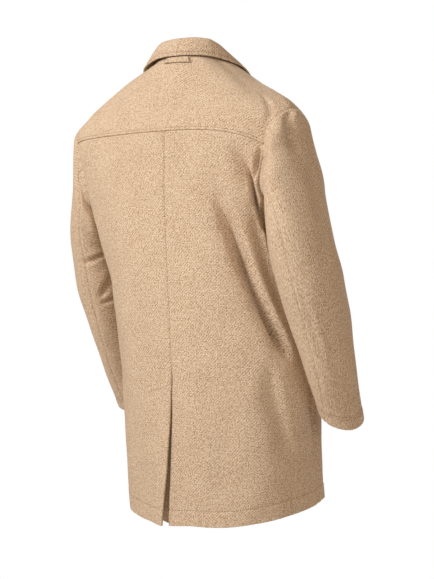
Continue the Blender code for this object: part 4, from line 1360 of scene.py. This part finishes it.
# %% Thread
THREAD_STOPS = ((0.3, (0.170, 0.100, 0.055)), (0.7, (0.310, 0.200, 0.120)))


def make_thread():
    """Brown thread, lighter and darker along its length."""
    material, tree, shader, place = new_material("brown_thread", "Object", {"Roughness": 0.8})
    noise = add_noise(tree, place, {"Scale": 260.0, "Detail": 2.0})
    paint(tree, noise, THREAD_STOPS, shader["Base Color"])
    return material


# %% Horn
HORN_STOPS = (
    (0.30, (0.020, 0.011, 0.006)),
    (0.55, (0.085, 0.045, 0.022)),
    (0.80, (0.210, 0.125, 0.065)),
)


def make_horn():
    """Streaks from stretched noise, dark to mid brown, and fine scratches in the polish."""
    material, tree, shader, place = new_material("polished_horn", "Object", {})
    stretched = add_node(tree, "ShaderNodeMapping", values={"Scale": (40.0, 40.0, 160.0)},
                         links={"Vector": place}).outputs[0]
    streaks = add_noise(tree, stretched, {"Scale": 1.6, "Detail": 4.0, "Distortion": 0.8})
    paint(tree, streaks, HORN_STOPS, shader["Base Color"])
    wear = add_noise(tree, place, {"Scale": 900.0, "Detail": 2.0})
    polish = add_node(tree, "ShaderNodeMapRange", values={"To Min": 0.28, "To Max": 0.46},
                      links={"Value": wear})
    tree.links.new(polish.outputs["Result"], shader["Roughness"])
    return material


thread_finish = make_thread()
horn = make_horn()
print("finishes:", ", ".join(material.name for material in (wool, thread_finish, horn)))

# %% [markdown]
# ## Declaring the pieces
# Each piece rides on the coat's one body and stands for its imported node, which is hidden. Each
# panel's cut size is kept with it: its longest row, its length along the grain and its own area.


def declare(piece, finish, nodes=()):
    """Give a piece its finish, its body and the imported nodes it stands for."""
    piece.data.materials.append(finish)
    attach(piece, "root")
    if nodes:
        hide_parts(*nodes)


for name, (piece, flat, cut) in SHEETS.items():
    piece.name = "cloth_" + name
    declare(piece, wool, [name])
declare(thread, thread_finish)
declare(button_thread, thread_finish)
for number, (piece, _) in enumerate(buttons):
    declare(piece, horn, ["button_" + str(number + 1)])
print(len(SHEETS), "sheets,", len(buttons), "buttons and the thread are declared")

# %% [markdown]
# ## Stage, light and camera
# The coat hangs over a pale floor in soft studio light: a large lamp above and to the left of the
# camera, with a narrow spread so that the hem gets less of it, two weak lamps, and pale warm
# surroundings that fill the shade. The surroundings look white to the camera.

# %% Floor
FLOOR_LEVEL = -1.56
FLOOR_RADIUS = 2.3
FLOOR_SIDES = 96
FLOOR_STOPS = ((0.3, (0.82, 0.81, 0.80)), (0.7, (0.86, 0.855, 0.85)))


def make_floor():
    """Disc: one face with its corners on a circle."""
    turn = 2 * np.pi * np.arange(FLOOR_SIDES) / FLOOR_SIDES
    ring = np.stack([np.cos(turn), np.sin(turn), 0 * turn], axis=-1) * FLOOR_RADIUS
    floor = add_mesh("floor", ring + UP * FLOOR_LEVEL, [list(range(FLOOR_SIDES))])
    material, tree, shader, place = new_material("pale_floor", "Object", {"Roughness": 0.9})
    noise = add_noise(tree, place, {"Scale": 3.0, "Detail": 3.0})
    paint(tree, noise, FLOOR_STOPS, shader["Base Color"])
    floor.data.materials.append(material)


make_floor()

# %% Light
from mathutils import Vector

SURROUND = 0.335
SURROUND_COLOUR = (1.0, 0.72, 0.47)
SEEN_COLOUR = (1.0, 1.0, 1.0)
LAMPS = (
    ("key_lamp", (1.50, 2.6, 1.2), (0.0, 0.0, -0.18), 1.7, 15.0, 66.0),
    ("fill_lamp", (-2.2, 2.6, 0.5), (0.0, 0.0, -0.4), 2.0, 32.0, 180.0),
    ("front_lamp", (0.9, -3.4, 1.4), (0.0, 0.0, -0.4), 2.4, 46.0, 180.0),
)


def add_lamp(name, place, target, size, power, spread):
    """Round soft lamp; a spread under 180 degrees keeps more of its light near its middle."""
    lamp = bpy.data.lights.new(name, "AREA")
    lamp.spread = np.radians(spread)
    lamp.shape = "DISK"
    lamp.size = size
    lamp.energy = power
    holder = bpy.data.objects.new(name, lamp)
    holder.location = place
    holder.rotation_euler = (Vector(target) - Vector(place)).to_track_quat("-Z", "Y").to_euler()
    COLLECTION.objects.link(holder)


def make_surroundings():
    """White where the camera looks past the coat, dimmer as the light that reaches the coat."""
    world = bpy.data.worlds.new("studio")
    bpy.context.scene.world = world
    world.use_nodes = True
    tree = world.node_tree
    background = tree.nodes["Background"].inputs
    seen = add_node(tree, "ShaderNodeLightPath").outputs["Is Camera Ray"]
    level = add_node(tree, "ShaderNodeMapRange", values={"To Min": SURROUND, "To Max": 1.0},
                     links={"Value": seen})
    tree.links.new(level.outputs["Result"], background["Strength"])
    paint(tree, seen, ((0.0, SURROUND_COLOUR), (1.0, SEEN_COLOUR)), background["Color"])


for lamp_row in LAMPS:
    add_lamp(*lamp_row)
make_surroundings()
print(len(LAMPS), "lamps")
bpy.context.scene.view_settings.view_transform = "Standard"

# %% Camera
FRAME_WIDTH, FRAME_HEIGHT = 434, 579
AXIS_PIXEL = 190.0
FOCAL_PIXELS = 1684.0
CAMERA_AZIMUTH = np.radians(30.0)
CAMERA_DISTANCE = 3.2
CAMERA_LEVEL = -0.421
SENSOR = 36.0


def add_camera():
    """Level camera behind the coat, to its right, moved sideways to keep the neck at its pixel."""
    back = np.array((-np.sin(CAMERA_AZIMUTH), np.cos(CAMERA_AZIMUTH), 0.0))
    right = np.array((-np.cos(CAMERA_AZIMUTH), -np.sin(CAMERA_AZIMUTH), 0.0))
    slide = (FRAME_WIDTH / 2 - AXIS_PIXEL) / FOCAL_PIXELS * CAMERA_DISTANCE
    data = bpy.data.cameras.new("camera")
    data.sensor_fit = "VERTICAL"
    data.sensor_height = SENSOR
    data.lens = FOCAL_PIXELS / FRAME_HEIGHT * SENSOR
    camera = bpy.data.objects.new("camera", data)
    camera.location = back * CAMERA_DISTANCE + right * slide + UP * CAMERA_LEVEL
    camera.rotation_euler = Vector(-back).to_track_quat("-Z", "Y").to_euler()
    COLLECTION.objects.link(camera)
    bpy.context.scene.camera = camera
    print("camera", tuple(round(value, 3) for value in camera.location), "lens", round(data.lens, 1))


add_camera()

# %% The end
bpy.context.view_layer.update()
